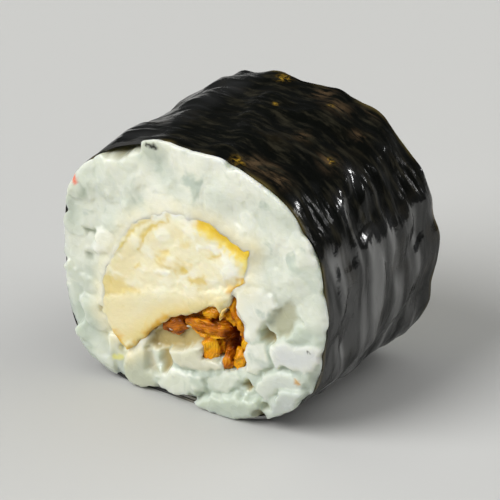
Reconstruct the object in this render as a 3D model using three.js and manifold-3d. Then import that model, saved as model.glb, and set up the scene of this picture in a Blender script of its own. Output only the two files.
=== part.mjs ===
// One piece of a maki roll, cut from a longer roll and lying on its side: a sheet of nori round
// sticky rice, with a thick piece of mackerel and a bundle of fried onion running through it.
// Millimetres, +Z up. The roll's axis runs along Y and the shown cut face looks along -Y.
import * as THREE from "three";
import { mergeVertices } from "three/addons/utils/BufferGeometryUtils.js";
import Module from "manifold-3d";

const wasm = await Module();
wasm.setup();

// Driving dimensions of the roll
const rollHalfWidth = 16;
const rollHalfHeight = 14.5;
const restingFlat = 0.25; // how far the weight of the roll presses its underside flat
const noriLength = 20.6; // along the roll's axis
const cutLength = 22; // between the two knife cuts, out to the rice that swells past the nori
const cornerFullness = { upperRight: 2.3, upperLeft: 2.3, lowerLeft: 3.7, lowerRight: 2.6 };

// The nori sheet
const noriThickness = 0.3;
const lapStart = THREE.MathUtils.degToRad(248); // the inner end of the sheet, under the roll
const lapAngle = THREE.MathUtils.degToRad(24); // how far the outer end reaches past the inner one
const lapRamp = THREE.MathUtils.degToRad(10);
const lapGap = 0.1;
const aroundSteps = 72;
const axialSteps = 11;
const rimRipple = 0.12;
const rimWaves = 5; // ripples round each rim
const rimShift = 2; // by which the ripples of one rim lead those of the other

// Rice grains that print through the nori
const printCount = 150;
const printHeight = 0.6;
const printLength = 4.8;
const printWidth = 2.6;
const printLeast = 0.45; // the faintest print, as a share of the strongest
const printFree = 0.4; // up to this height the roll lies flat and has no prints
const printFull = 5; // and from this height on they are as strong as elsewhere
const printSeed = 5;

// The rice
const grainLength = 5.6;
const grainWidth = 2.8;
const grainProfile = [[0, 0.5], [0.36, 0.38], [0.5, 0], [0.36, -0.38], [0, -0.5]]; // shares of width, length
const grainSides = 5;
const grainLeast = 0.9; // the smallest grain, as a share of the usual size
const grainSpread = 0.2; // and how much of that size the largest has more
const grainTilt = 0.6; // between the steepest grains of either way, in radians
const rimGrainTurn = 0.4; // likewise, by which the rim's grains lie askew
const rimGrains = 19; // in a ring along the nori
const fieldGrains = 62; // over the section inside that ring, before those over the filling are left out
const coreLength = 19.8;
const grainSink = 0.45; // how far the middle of the deepest grain lies behind the core's face
const grainRise = 0.65; // and how much further out the outermost may be
const rimInset = 1.3; // from the nori to the middle of the rim's grains
const fieldInset = 3.4; // and to the outermost of the others
const farTurn = 1; // by which the grains of the far cut are turned round the axis, in radians
const shownSeed = 11;
const farSeed = 29;

// The filling
const fishLength = 21.2;
const flakeDepth = 0.35;
const flakeSpacing = 3.4;
const flakeRings = 6;
const flakeSlant = 0.3; // rise of the flakes' edges across the cut
const flakeBend = 0.5; // how far those edges wave, and how often
const flakeBendRate = 0.9;
const faceSwell = 0.2; // how far the whole cut rises and falls, how often, and its lead between the cuts
const faceSwellRate = 1.3;
const faceSwellShift = 2;
const fishCornerPoints = 2; // points of the smooth outline for each corner
const onionLength = 20.6;
const onionWander = 0.35; // sideways, and how often
const onionWanderRate = 0.2;
const onionSag = 0.6; // up and down, as a share of the sideways wander, and how often
const onionSagRate = 0.28;
const onionCrinkle = 0.1; // how far a strip's section is crinkled, and into how many folds
const onionFolds = 3;
const onionShift = 2; // by which each strip leads the one before
const onionSides = 8;
const onionSteps = 6;
const onionReach = 0.6; // share of a strip's width and height within which no grain is laid
const clearance = 0.3; // between neighbouring pieces
const roomOverrun = 1; // how far the room for a strip runs past the cuts

const fullTurn = 2 * Math.PI;
const goldenAngle = Math.PI * (3 - Math.sqrt(5));
const evenSpread = [0.7548776662, 0.5698402910]; // steps that fill a rectangle evenly
const streamFactor = 1664525; // of the repeatable numbers
const streamStep = 1013904223;
const streamRange = 2 ** 32;
const mergeDistance = 1e-4;

// The fish's corners in the section, about the roll's axis, clockwise from the upper left
const fishCorners = [
  [-6.2, 5.0], [-2.5, 6.8], [2.0, 6.9], [7.1, 5.7], [6.8, 2.4], [4.0, -0.4], [2.6, -2.2],
  [-0.6, -3.7], [-3.2, -4.9], [-5.2, -7.4], [-8.0, -9.8], [-9.6, -8.4], [-10.8, -5.2],
  [-10.2, -1.4], [-8.2, 2.2],
];
const fishHeart = [-3.2, -0.6]; // every corner of the fish can be seen from here

// The onion strips in the section: middle, width, height, turn in degrees and setback of the end
const onionStrips = [
  { at: [-2.1, -5.7], width: 3.2, height: 1.4, turn: 22, setback: 0.5 },
  { at: [0.7, -4.6], width: 3.6, height: 1.7, turn: 18, setback: 0.0 },
  { at: [3.0, -3.7], width: 3.6, height: 2.0, turn: -12, setback: 0.3 },
  { at: [5.0, -1.7], width: 1.7, height: 3.4, turn: -16, setback: 0.1 },
  { at: [5.8, -4.2], width: 1.6, height: 3.2, turn: 6, setback: 0.4 },
  { at: [5.3, -6.8], width: 2.4, height: 3.0, turn: 0, setback: 0.2 },
  { at: [2.9, -7.0], width: 3.4, height: 2.0, turn: 14, setback: 0.6 },
];

// A repeatable stream of numbers between 0 and 1
function seededRandom(seed) {
  let state = seed;
  return () => {
    state = (state * streamFactor + streamStep) % streamRange;
    return state / streamRange;
  };
}

function smoothStep(low, high, value) {
  return THREE.MathUtils.smoothstep(value, low, high);
}

// A closed geometry as a solid for joining and cutting
function solidOf(geometry) {
  const bare = geometry.clone();
  bare.deleteAttribute("normal");
  bare.deleteAttribute("uv");
  const merged = mergeVertices(bare, mergeDistance);
  return new wasm.Manifold(
    new wasm.Mesh({
      numProp: 3,
      vertProperties: new Float32Array(merged.attributes.position.array),
      triVerts: new Uint32Array(merged.index.array),
    }),
  );
}

function geometryOf(solid) {
  const mesh = solid.getMesh();
  const geometry = new THREE.BufferGeometry();
  geometry.setAttribute("position", new THREE.BufferAttribute(mesh.vertProperties, 3));
  geometry.setIndex(new THREE.BufferAttribute(mesh.triVerts, 1));
  geometry.computeVertexNormals();
  return geometry;
}

// The largest body of a solid, without loose scraps and sealed hollows
function mainBody(solid) {
  return solid.decompose().reduce((best, body) => (body.volume() > best.volume() ? body : best));
}

// How full the outline is at an angle: 2 is an ellipse, and more is squarer
function fullnessAt(angle) {
  const corners = [
    [Math.PI / 4, cornerFullness.upperRight],
    [(3 * Math.PI) / 4, cornerFullness.upperLeft],
    [(5 * Math.PI) / 4, cornerFullness.lowerLeft],
    [(7 * Math.PI) / 4, cornerFullness.lowerRight],
  ];
  let total = 0;
  let weights = 0;
  for (const [corner, fullness] of corners) {
    const weight = Math.max(0, Math.cos(angle - corner)) ** 2;
    total += weight * fullness;
    weights += weight;
  }
  return total / weights;
}

// The distance from the roll's axis to the outside of the smooth nori
function rollRadius(angle) {
  const across = Math.abs(Math.cos(angle) / rollHalfWidth);
  const up = Math.abs(Math.sin(angle) / rollHalfHeight);
  const fullness = fullnessAt(angle);
  const radius = (across ** fullness + up ** fullness) ** (-1 / fullness);
  const floor = rollHalfHeight - restingFlat;
  const drop = -radius * Math.sin(angle);
  return drop > floor ? (radius * floor) / drop : radius;
}

// The prints that the rice underneath presses into the nori, none where the roll lies flat
const printRandom = seededRandom(printSeed);
const grainPrints = Array.from({ length: printCount }, (_, index) => ({
  angle: ((index * evenSpread[0]) % 1) * fullTurn,
  along: (((index * evenSpread[1]) % 1) - 0.5) * noriLength,
  turn: printRandom() * Math.PI,
  share: printLeast + (1 - printLeast) * printRandom(),
}));

function noriRelief(angle, along) {
  const radius = rollRadius(angle);
  let relief = 0;
  for (const print of grainPrints) {
    const apart = ((angle - print.angle + 3 * Math.PI) % fullTurn) - Math.PI;
    const around = apart * radius;
    const axial = along - print.along;
    const lengthwise = around * Math.cos(print.turn) + axial * Math.sin(print.turn);
    const crosswise = axial * Math.cos(print.turn) - around * Math.sin(print.turn);
    const far = (2 * lengthwise / printLength) ** 2 + (2 * crosswise / printWidth) ** 2;
    relief = Math.max(relief, print.share * Math.exp(-far));
  }
  const heightAboveRest = radius * Math.sin(angle) + rollHalfHeight;
  return printHeight * relief * smoothStep(printFree, printFull, heightAboveRest);
}

// How far the sheet lies inside its own outer layer, at a distance round from its inner end
function lapInset(travel) {
  return (noriThickness + lapGap) * (1 - smoothStep(lapAngle, lapAngle + lapRamp, travel));
}

// The nori is one sheet rolled once round, whose outer end laps over its inner end underneath
function noriGeometry() {
  const travelEnd = fullTurn + lapAngle;
  const positions = [];
  for (const layer of [0, noriThickness]) {
    for (let i = 0; i <= aroundSteps; i++) {
      const travel = (travelEnd * i) / aroundSteps;
      const angle = (lapStart + travel) % fullTurn;
      for (let j = 0; j <= axialSteps; j++) {
        const share = (2 * j) / axialSteps - 1;
        const ripple = rimRipple * Math.sin(rimWaves * angle + rimShift * share) * share;
        const along = share * (noriLength / 2 - rimRipple) + ripple;
        const radius = rollRadius(angle) + noriRelief(angle, along) - lapInset(travel) - layer;
        positions.push(radius * Math.cos(angle), along, radius * Math.sin(angle));
      }
    }
  }
  const rowLength = axialSteps + 1;
  const layerSize = (aroundSteps + 1) * rowLength;
  const index = [];
  const quad = (a, b, c, d) => index.push(a, b, c, a, c, d);
  const at = (layer, i, j) => layer * layerSize + i * rowLength + j;
  const lastRow = aroundSteps;
  const rim = axialSteps;
  for (let i = 0; i < aroundSteps; i++) {
    for (let j = 0; j < axialSteps; j++) {
      quad(at(0, i, j), at(0, i, j + 1), at(0, i + 1, j + 1), at(0, i + 1, j));
      quad(at(1, i, j), at(1, i + 1, j), at(1, i + 1, j + 1), at(1, i, j + 1));
    }
    quad(at(0, i, 0), at(0, i + 1, 0), at(1, i + 1, 0), at(1, i, 0));
    quad(at(0, i, rim), at(1, i, rim), at(1, i + 1, rim), at(0, i + 1, rim));
  }
  for (let j = 0; j < axialSteps; j++) {
    quad(at(0, 0, j), at(1, 0, j), at(1, 0, j + 1), at(0, 0, j + 1));
    quad(at(0, lastRow, j), at(0, lastRow, j + 1), at(1, lastRow, j + 1), at(1, lastRow, j));
  }
  const geometry = new THREE.BufferGeometry();
  geometry.setAttribute("position", new THREE.Float32BufferAttribute(positions, 3));
  geometry.setIndex(index);
  geometry.computeVertexNormals();
  return geometry;
}

// A bar along Y between two ends, whose outline is a ring of [x, z] points seen from its heart,
// with ends that rise and fall by relief(x, z, side)
function barGeometry(outline, heart, length, rings, relief) {
  const count = outline.length;
  const positions = [];
  const index = [];
  for (const side of [-1, 1]) {
    const start = positions.length / 3;
    for (let ring = 0; ring < rings; ring++) {
      const share = 1 - ring / rings;
      for (const [x, z] of outline) {
        const px = heart[0] + (x - heart[0]) * share;
        const pz = heart[1] + (z - heart[1]) * share;
        positions.push(px, side * (length / 2 + relief(px, pz, side)), pz);
      }
    }
    positions.push(heart[0], side * (length / 2 + relief(heart[0], heart[1], side)), heart[1]);
    const middle = start + rings * count;
    const turn = (a, b, c) => (side < 0 ? index.push(a, b, c) : index.push(a, c, b));
    for (let k = 0; k < count; k++) {
      const next = (k + 1) % count;
      for (let ring = 0; ring < rings - 1; ring++) {
        const outer = start + ring * count;
        turn(outer + k, outer + next, outer + count + next);
        turn(outer + k, outer + count + next, outer + count + k);
      }
      const last = start + (rings - 1) * count;
      turn(last + k, last + next, middle);
    }
  }
  const backStart = rings * count + 1;
  for (let k = 0; k < count; k++) {
    const next = (k + 1) % count;
    index.push(k, backStart + k, backStart + next, k, backStart + next, next);
  }
  const geometry = new THREE.BufferGeometry();
  geometry.setAttribute("position", new THREE.Float32BufferAttribute(positions, 3));
  geometry.setIndex(index);
  return geometry;
}

// A bar with plain ends
function plainBar(outline, heart, length) {
  return solidOf(barGeometry(outline, heart, length, 1, () => 0));
}

// Points round the roll's section, at a distance inside its outline
function sectionOutline(inset) {
  return Array.from({ length: aroundSteps }, (_, k) => {
    const angle = (fullTurn * k) / aroundSteps;
    const travel = (angle - lapStart + fullTurn) % fullTurn;
    const radius = rollRadius(angle) - inset - lapInset(travel);
    return [radius * Math.cos(angle), radius * Math.sin(angle)];
  });
}

// The fish's outline as a smooth ring through its corners, counter-clockwise, grown by a margin
function fishOutline(margin) {
  const ring = new THREE.SplineCurve(
    [...fishCorners, fishCorners[0]].map(([x, z]) => new THREE.Vector2(x, z)).reverse(),
  );
  const points = ring.getSpacedPoints(fishCornerPoints * fishCorners.length).slice(0, -1);
  return points.map((point, k) => {
    const before = points.at(k - 1);
    const after = points[(k + 1) % points.length];
    const along = after.clone().sub(before).normalize();
    return [point.x + along.y * margin, point.y - along.x * margin];
  });
}

// Flakes of cooked fish step down across the cut, each a little deeper at one edge
function flakeRelief(x, z, side) {
  const across = z - flakeSlant * x + flakeBend * Math.sin(flakeBendRate * x + side);
  const step = THREE.MathUtils.euclideanModulo(across / flakeSpacing, 1);
  const swell = faceSwell * Math.sin(faceSwellRate * x + faceSwellShift * side);
  return flakeDepth * (step - 0.5) + swell;
}

function fishSolid() {
  return solidOf(barGeometry(fishOutline(0), fishHeart, fishLength, flakeRings, flakeRelief));
}

// What the fish takes out of its neighbours, so that they lie clear of it
function fishRoom() {
  return plainBar(fishOutline(clearance), fishHeart, 2 * cutLength);
}

// One strip of fried onion, wandering a little on its way through the roll.
// With a margin it is the room that the strip takes, right through both cuts.
function onionStrip({ at, width, height, turn, setback }, number, margin) {
  const wide = width / 2 + margin;
  const high = height / 2 + margin;
  const section = new THREE.Shape(
    Array.from({ length: onionSides }, (_, k) => {
      const angle = (fullTurn * k) / onionSides;
      const crinkle = 1 + onionCrinkle * Math.sin(onionFolds * angle + onionShift * number);
      return new THREE.Vector2(wide * crinkle * Math.cos(angle), high * crinkle * Math.sin(angle));
    }),
  );
  const halfLength = margin > 0 ? cutLength / 2 + roomOverrun : onionLength / 2 - setback;
  const strip = new THREE.ExtrudeGeometry(section, {
    depth: 2 * halfLength,
    steps: onionSteps,
    bevelEnabled: false,
  });
  strip.rotateX(Math.PI / 2);
  strip.translate(0, halfLength, 0);
  strip.rotateY(-THREE.MathUtils.degToRad(turn));
  const points = strip.attributes.position;
  for (let k = 0; k < points.count; k++) {
    const along = points.getY(k);
    const sideways = Math.sin(onionWanderRate * along + number);
    const upward = onionSag * Math.cos(onionSagRate * along + onionShift * number);
    points.setX(k, points.getX(k) + at[0] + onionWander * sideways);
    points.setZ(k, points.getZ(k) + at[1] + onionWander * upward);
  }
  return solidOf(strip);
}

function onionBundle(margin) {
  return wasm.Manifold.union(onionStrips.map((strip, number) => onionStrip(strip, number, margin)));
}

function onionSolid() {
  return mainBody(onionBundle(0).subtract(fishRoom()));
}

// One cooked grain of rice, lying in the cut at a middle, turned in the cut and tilted out of it
function riceGrain(middle, turn, tilt, size) {
  const profile = grainProfile.map(
    ([radius, along]) => new THREE.Vector2(radius * grainWidth * size, -along * grainLength * size),
  );
  const grain = new THREE.LatheGeometry(profile, grainSides);
  grain.rotateZ(Math.PI / 2 + tilt);
  grain.rotateY(-turn);
  grain.translate(middle.x, middle.y, middle.z);
  return solidOf(grain);
}

// Whether a point of the section lies in the fish or the onion
function inFilling(x, z) {
  const inOnion = onionStrips.some(
    ({ at, width, height }) => Math.hypot((x - at[0]) / width, (z - at[1]) / height) < onionReach,
  );
  const fish = fishOutline(clearance);
  const inFish = fish.reduce((inside, [px, pz], k) => {
    const [qx, qz] = fish.at(k - 1);
    const crosses = pz > z !== qz > z && x < ((qx - px) * (z - pz)) / (qz - pz) + px;
    return crosses ? !inside : inside;
  }, false);
  return inFish || inOnion;
}

// Where the grains lie on a cut: a ring along the nori, and a sunflower's spiral inside it
function grainPlaces(side) {
  const places = [];
  const start = side > 0 ? farTurn : 0;
  for (let k = 0; k < rimGrains; k++) {
    const angle = (fullTurn * k) / rimGrains + start;
    places.push({ angle, radius: rollRadius(angle) - noriThickness - rimInset, onRim: true });
  }
  for (let k = 0; k < fieldGrains; k++) {
    const angle = k * goldenAngle + start;
    const reach = rollRadius(angle) - noriThickness - fieldInset;
    places.push({ angle, radius: reach * Math.sqrt((k + 0.5) / fieldGrains), onRim: false });
  }
  return places;
}

function faceGrains(side) {
  const random = seededRandom(side < 0 ? shownSeed : farSeed);
  const grains = [];
  for (const { angle, radius, onRim } of grainPlaces(side)) {
    const x = radius * Math.cos(angle);
    const z = radius * Math.sin(angle);
    const alongRim = angle + Math.PI / 2 + rimGrainTurn * (random() - 0.5);
    const anyWay = random() * Math.PI;
    const tilt = (random() - 0.5) * grainTilt;
    const size = grainLeast + grainSpread * random();
    const depth = coreLength / 2 - grainSink + grainRise * random();
    if (inFilling(x, z)) continue;
    const middle = new THREE.Vector3(x, side * depth, z);
    grains.push(riceGrain(middle, onRim ? alongRim : anyWay, tilt, size));
  }
  return grains;
}

// The rice keeps inside the nori and between the two cuts
function riceRoom() {
  return plainBar(sectionOutline(noriThickness + clearance), [0, 0], cutLength);
}

function riceSolid() {
  const core = plainBar(sectionOutline(noriThickness + clearance), [0, 0], coreLength);
  const heap = wasm.Manifold.union([core, ...faceGrains(-1), ...faceGrains(1)]);
  const filling = wasm.Manifold.union([fishRoom(), onionBundle(clearance)]);
  return mainBody(heap.intersect(riceRoom()).subtract(filling));
}

const roll = new THREE.Group();
const pieces = new THREE.Group();
roll.add(pieces);

function addPiece(name, geometry, look) {
  const piece = new THREE.Mesh(geometry, new THREE.MeshStandardMaterial(look));
  piece.name = name;
  pieces.add(piece);
}

addPiece("nori_sheet", noriGeometry(), { color: 0x0d100c, roughness: 0.38, metalness: 0 });
addPiece("rice", geometryOf(riceSolid()), { color: 0xe6e7dc, roughness: 0.42, metalness: 0 });
addPiece("mackerel", geometryOf(fishSolid()), { color: 0xe9dfb4, roughness: 0.5, metalness: 0 });
addPiece("fried_onion", geometryOf(onionSolid()), { color: 0xb8711f, roughness: 0.35, metalness: 0 });

// The origin is under the middle of the roll, on the surface that it lies on
const bounds = new THREE.Box3().setFromObject(pieces);
const middle = bounds.getCenter(new THREE.Vector3());
pieces.position.set(-middle.x, -middle.y, -bounds.min.z);

export default roll;
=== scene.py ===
import bpy
import math
import numpy as np
from mathutils import Matrix, Vector
from mathutils.bvhtree import BVHTree


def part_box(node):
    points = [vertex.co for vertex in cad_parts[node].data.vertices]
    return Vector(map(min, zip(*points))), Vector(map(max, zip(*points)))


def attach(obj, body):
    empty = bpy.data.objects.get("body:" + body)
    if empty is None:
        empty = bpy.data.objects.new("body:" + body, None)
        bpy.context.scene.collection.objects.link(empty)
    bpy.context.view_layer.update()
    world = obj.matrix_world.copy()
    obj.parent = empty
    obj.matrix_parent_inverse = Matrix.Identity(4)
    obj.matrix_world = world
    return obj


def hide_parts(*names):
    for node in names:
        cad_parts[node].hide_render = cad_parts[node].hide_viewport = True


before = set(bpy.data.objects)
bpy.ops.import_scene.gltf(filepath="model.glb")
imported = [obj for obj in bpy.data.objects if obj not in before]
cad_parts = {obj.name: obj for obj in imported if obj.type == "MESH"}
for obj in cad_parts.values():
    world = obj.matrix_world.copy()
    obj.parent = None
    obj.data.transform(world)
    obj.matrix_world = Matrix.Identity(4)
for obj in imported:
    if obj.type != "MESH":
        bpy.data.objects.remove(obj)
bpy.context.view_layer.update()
print("frame loaded:", ", ".join(sorted(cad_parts)))

# Pieces are modelled in millimetres about the roll's axis, which runs along Y: x is to the right of
# the shown cut, z is up and the shown cut looks along -Y. finishPiece brings them into the frame.
rollPlace = {
    "axisX": -0.056,  # where the axis runs in the frame
    "axisZ": 14.25,
    "lapEdge": math.radians(272),  # the outer end of the nori, under the roll
    "lapAngle": math.radians(24),  # how far it reaches past the inner end
    "lapStep": 0.4,  # thickness and gap between the two layers there
    "noriThickness": 0.3,
    "mapAround": 432,
    "mapAlong": 84,
    "mapBlur": 2.2,  # in steps of the map, takes the facets out
    "mapGap": 0.004,  # radians left out at the lap's edge
    "mapMargin": 0.3,  # left out at the nori's two edges
    "outside": 40,  # a distance from the axis that is clear of the roll
}
axisPlace = np.array([rollPlace["axisX"], 0.0, rollPlace["axisZ"]])
fullTurn = 2 * math.pi
sheetRadius = 15.5  # millimetres of sheet for each radian round the roll
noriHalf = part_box("nori_sheet")[1].y * 1000
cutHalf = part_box("rice")[1].y * 1000
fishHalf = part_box("mackerel")[1].y * 1000


def coordinates(mesh):
    points = np.empty(len(mesh.vertices) * 3, np.float32)
    mesh.vertices.foreach_get("co", points)
    return points.reshape(-1, 3)


def cadTree(node):  # a CAD node's faces about the roll's axis, to measure from
    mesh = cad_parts[node].data
    mesh.calc_loop_triangles()
    corners = np.empty(len(mesh.loop_triangles) * 3, np.int32)
    mesh.loop_triangles.foreach_get("vertices", corners)
    points = coordinates(mesh) * 1000 - axisPlace
    return BVHTree.FromPolygons(points.tolist(), corners.reshape(-1, 3).tolist())


def pointsOf(mesh):
    return coordinates(mesh).astype(float)


def setPoints(mesh, points):
    mesh.vertices.foreach_set("co", points.astype(np.float32).ravel())
    mesh.update()


def storeValues(mesh, name, values, kind="FLOAT"):
    layer = mesh.attributes.new(name, kind, "POINT")
    field = "vector" if kind == "FLOAT_VECTOR" else "value"
    layer.data.foreach_set(field, values.astype(np.float32).ravel())


def addObject(name, data):
    thing = bpy.data.objects.new(name, data)
    bpy.context.scene.collection.objects.link(thing)
    return thing


def newPiece(name, points, faces=(), edges=()):
    mesh = bpy.data.meshes.new(name)
    mesh.from_pydata(np.asarray(points).tolist(), list(edges), [list(face) for face in faces])
    mesh.update()
    return addObject(name, mesh)


def plainMesh(piece):  # the evaluated piece as a plain mesh, its modifiers gone
    bpy.context.view_layer.update()
    graph = bpy.context.evaluated_depsgraph_get()
    mesh = bpy.data.meshes.new_from_object(piece.evaluated_get(graph))
    piece.modifiers.clear()
    piece.data = mesh
    return mesh


def finishPiece(piece, node, sharpAngle=180):
    mesh = piece.data
    mesh.transform(Matrix.Scale(0.001, 4) @ Matrix.Translation(Vector(axisPlace)))
    mesh.shade_smooth()
    if sharpAngle < 180:
        mesh.set_sharp_from_angle(angle=math.radians(sharpAngle))
    mesh.update()
    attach(piece, "root")
    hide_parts(node)
    mesh.calc_loop_triangles()
    print(piece.name, "has", len(mesh.loop_triangles), "triangles")


def smoothStep(low, high, value):
    share = np.clip((value - low) / (high - low), 0, 1)
    return share * share * (3 - 2 * share)


def bell(far, width):  # 1 at no distance, fading to 0 within about two widths
    return np.exp(-(far / width) ** 2)


def softLimit(value, limit, blend):  # the smaller of the two, rounded where they meet
    share = np.clip(0.5 + 0.5 * (limit - value) / blend, 0, 1)
    return limit + (value - limit) * share - blend * share * (1 - share)


def ripple(points, size, seed, waves=10):  # a smooth random field, mostly between -1 and 1
    random = np.random.default_rng(seed)
    directions = random.normal(size=(waves, points.shape[1]))
    directions /= np.linalg.norm(directions, axis=1)[:, None] * size * random.uniform(0.7, 1.5, (waves, 1))
    starts = random.uniform(0, fullTurn, waves)
    return np.sin(fullTurn * points @ directions.T + starts).sum(1) / math.sqrt(waves)


def polylineDistance(points, path):  # distance to a line through points, and which side of it
    best = np.full(len(points), 1e9)
    side = np.zeros(len(points))
    for start, end in zip(path[:-1], path[1:]):
        start, along = np.array(start), np.subtract(end, start)
        share = np.clip((points - start) @ along / (along @ along), 0, 1)
        away = points - start - share[:, None] * along
        far = np.hypot(away[:, 0], away[:, 1])
        nearer = far < best
        best[nearer] = far[nearer]
        side[nearer] = np.sign(along[0] * away[nearer, 1] - along[1] * away[nearer, 0])
    return best, side


# Node trees

def addNode(tree, kind, values=None, **settings):
    node = tree.nodes.new(kind)
    for key, value in settings.items():
        setattr(node, key, value)
    setSockets(tree, node, values or {})
    return node


def setSockets(tree, node, values):
    for key, value in values.items():
        if isinstance(value, bpy.types.NodeSocket):
            tree.links.new(value, node.inputs[key])
        else:
            node.inputs[key].default_value = value


def calc(tree, operation, *values):
    return addNode(tree, "ShaderNodeMath", dict(enumerate(values)), operation=operation).outputs[0]


def vectorCalc(tree, operation, *values):
    return addNode(tree, "ShaderNodeVectorMath", dict(enumerate(values)), operation=operation).outputs[0]


def mapRange(tree, value, low, high, toLow=0.0, toHigh=1.0):
    values = {"Value": value, "From Min": low, "From Max": high, "To Min": toLow, "To Max": toHigh}
    return addNode(tree, "ShaderNodeMapRange", values, interpolation_type="SMOOTHSTEP").outputs[0]


def mixColour(tree, share, first, second):
    values = {0: share, 6: first, 7: second}  # sockets by number, because their names repeat
    return addNode(tree, "ShaderNodeMix", values, data_type="RGBA").outputs[2]


def noise(tree, place, scale, detail=2.0, roughness=0.5, distortion=0.0):
    values = {"Vector": place, "Scale": scale, "Detail": detail, "Roughness": roughness,
              "Distortion": distortion}
    return addNode(tree, "ShaderNodeTexNoise", values).outputs["Fac"]


def newTree(name, kind, inputs, outputs):
    tree = bpy.data.node_groups.new(name, kind)
    for direction, sockets in (("INPUT", inputs), ("OUTPUT", outputs)):
        for label, socketKind in sockets.items():
            tree.interface.new_socket(label, in_out=direction, socket_type="NodeSocket" + socketKind)
    return tree, addNode(tree, "NodeGroupInput").outputs, addNode(tree, "NodeGroupOutput").inputs


def useTree(piece, tree, values):
    modifier = piece.modifiers.new(tree.name, "NODES")
    modifier.node_group = tree
    for item in tree.interface.items_tree:
        if item.in_out == "INPUT" and item.name in values:
            modifier[item.identifier] = values[item.name]


def endTree(tree, given, made, geometry):  # one plain mesh in the material that the tree is given
    solid = addNode(tree, "GeometryNodeRealizeInstances", {"Geometry": geometry}).outputs[0]
    dressed = addNode(tree, "GeometryNodeSetMaterial", {"Geometry": solid, "Material": given["Material"]})
    tree.links.new(dressed.outputs[0], made["Geometry"])
    return tree


def scaled(tree, vector, share):
    return addNode(tree, "ShaderNodeVectorMath", {0: vector, "Scale": share}, operation="SCALE").outputs[0]


def carried(tree, name, kind="FLOAT"):  # values that a mesh carries
    node = addNode(tree, "GeometryNodeInputNamedAttribute", {"Name": name}, data_type=kind)
    return node.outputs["Attribute"]


def tint(red, green, blue):  # a colour read off a screen as the shader's linear one
    shares = [value / 255 for value in (red, green, blue)]
    return [s / 12.92 if s < 0.04045 else ((s + 0.055) / 1.055) ** 2.4 for s in shares] + [1.0]


# Shared finishes

def makeMottle():  # two colours in patches, with finer flecks of light and dark
    inputs = {"Vector": "Vector", "Base": "Color", "Patch": "Color", "Patch Size": "Float",
              "Patch Share": "Float", "Fleck Size": "Float", "Fleck Strength": "Float"}
    tree, given, made = newTree("foodMottle", "ShaderNodeTree", inputs, {"Color": "Color"})
    patchScale = calc(tree, "DIVIDE", 1.0, given["Patch Size"])
    patches = noise(tree, given["Vector"], patchScale, detail=3.0, roughness=0.55, distortion=0.6)
    low = calc(tree, "SUBTRACT", 0.72, calc(tree, "MULTIPLY", given["Patch Share"], 0.45))
    mask = mapRange(tree, patches, low, calc(tree, "ADD", low, 0.16))
    fleckScale = calc(tree, "DIVIDE", 1.0, given["Fleck Size"])
    flecks = noise(tree, given["Vector"], fleckScale, detail=3.0, roughness=0.6)
    change = calc(tree, "MULTIPLY", calc(tree, "SUBTRACT", flecks, 0.5), given["Fleck Strength"])
    brightness = calc(tree, "ADD", 1.0, calc(tree, "MULTIPLY", change, 2.0))
    blend = mixColour(tree, mask, given["Base"], given["Patch"])
    tree.links.new(scaled(tree, blend, brightness), made["Color"])
    return tree


def makeMoisture():  # wet and dry patches, and the small unevenness of a damp surface
    inputs = {"Vector": "Vector", "Wet Roughness": "Float", "Dry Roughness": "Float", "Patch Size": "Float",
              "Grain Size": "Float"}
    outputs = {"Roughness": "Float", "Height": "Float"}
    tree, given, made = newTree("foodMoisture", "ShaderNodeTree", inputs, outputs)
    patches = noise(tree, given["Vector"], calc(tree, "DIVIDE", 1.0, given["Patch Size"]))
    span = calc(tree, "SUBTRACT", given["Dry Roughness"], given["Wet Roughness"])
    share = mapRange(tree, patches, 0.35, 0.65)
    roughness = calc(tree, "ADD", given["Wet Roughness"], calc(tree, "MULTIPLY", span, share))
    grainScale = calc(tree, "DIVIDE", 1.0, given["Grain Size"])
    height = noise(tree, given["Vector"], grainScale, detail=3.0, roughness=0.6)
    tree.links.new(roughness, made["Roughness"])
    tree.links.new(height, made["Height"])
    return tree


mottleGroup = makeMottle()
moistureGroup = makeMoisture()


def useGroup(tree, group, values):
    return addNode(tree, "ShaderNodeGroup", values, node_tree=group).outputs


def newMaterial(name):
    material = bpy.data.materials.new(name)
    material.use_nodes = True
    tree = material.node_tree
    shader = tree.nodes["Principled BSDF"]
    place = addNode(tree, "ShaderNodeTexCoord").outputs["Object"]
    return material, tree, shader, place


def useMottle(tree, place, base, patch, patchSize, patchShare, fleckSize, fleckStrength):
    values = {"Vector": place, "Base": base, "Patch": patch, "Patch Size": patchSize,
              "Patch Share": patchShare, "Fleck Size": fleckSize, "Fleck Strength": fleckStrength}
    return useGroup(tree, mottleGroup, values)["Color"]


def useMoisture(tree, shader, place, wet, dry, patchSize, grainSize, depth):
    values = {"Vector": place, "Wet Roughness": wet, "Dry Roughness": dry, "Patch Size": patchSize,
              "Grain Size": grainSize}
    made = useGroup(tree, moistureGroup, values)
    tree.links.new(made["Roughness"], shader.inputs["Roughness"])
    bump = addNode(tree, "ShaderNodeBump", {"Height": made["Height"], "Distance": depth})
    tree.links.new(bump.outputs["Normal"], shader.inputs["Normal"])
    return bump


def attribute(tree, name):
    return addNode(tree, "ShaderNodeAttribute", attribute_name=name).outputs["Fac"]


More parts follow.
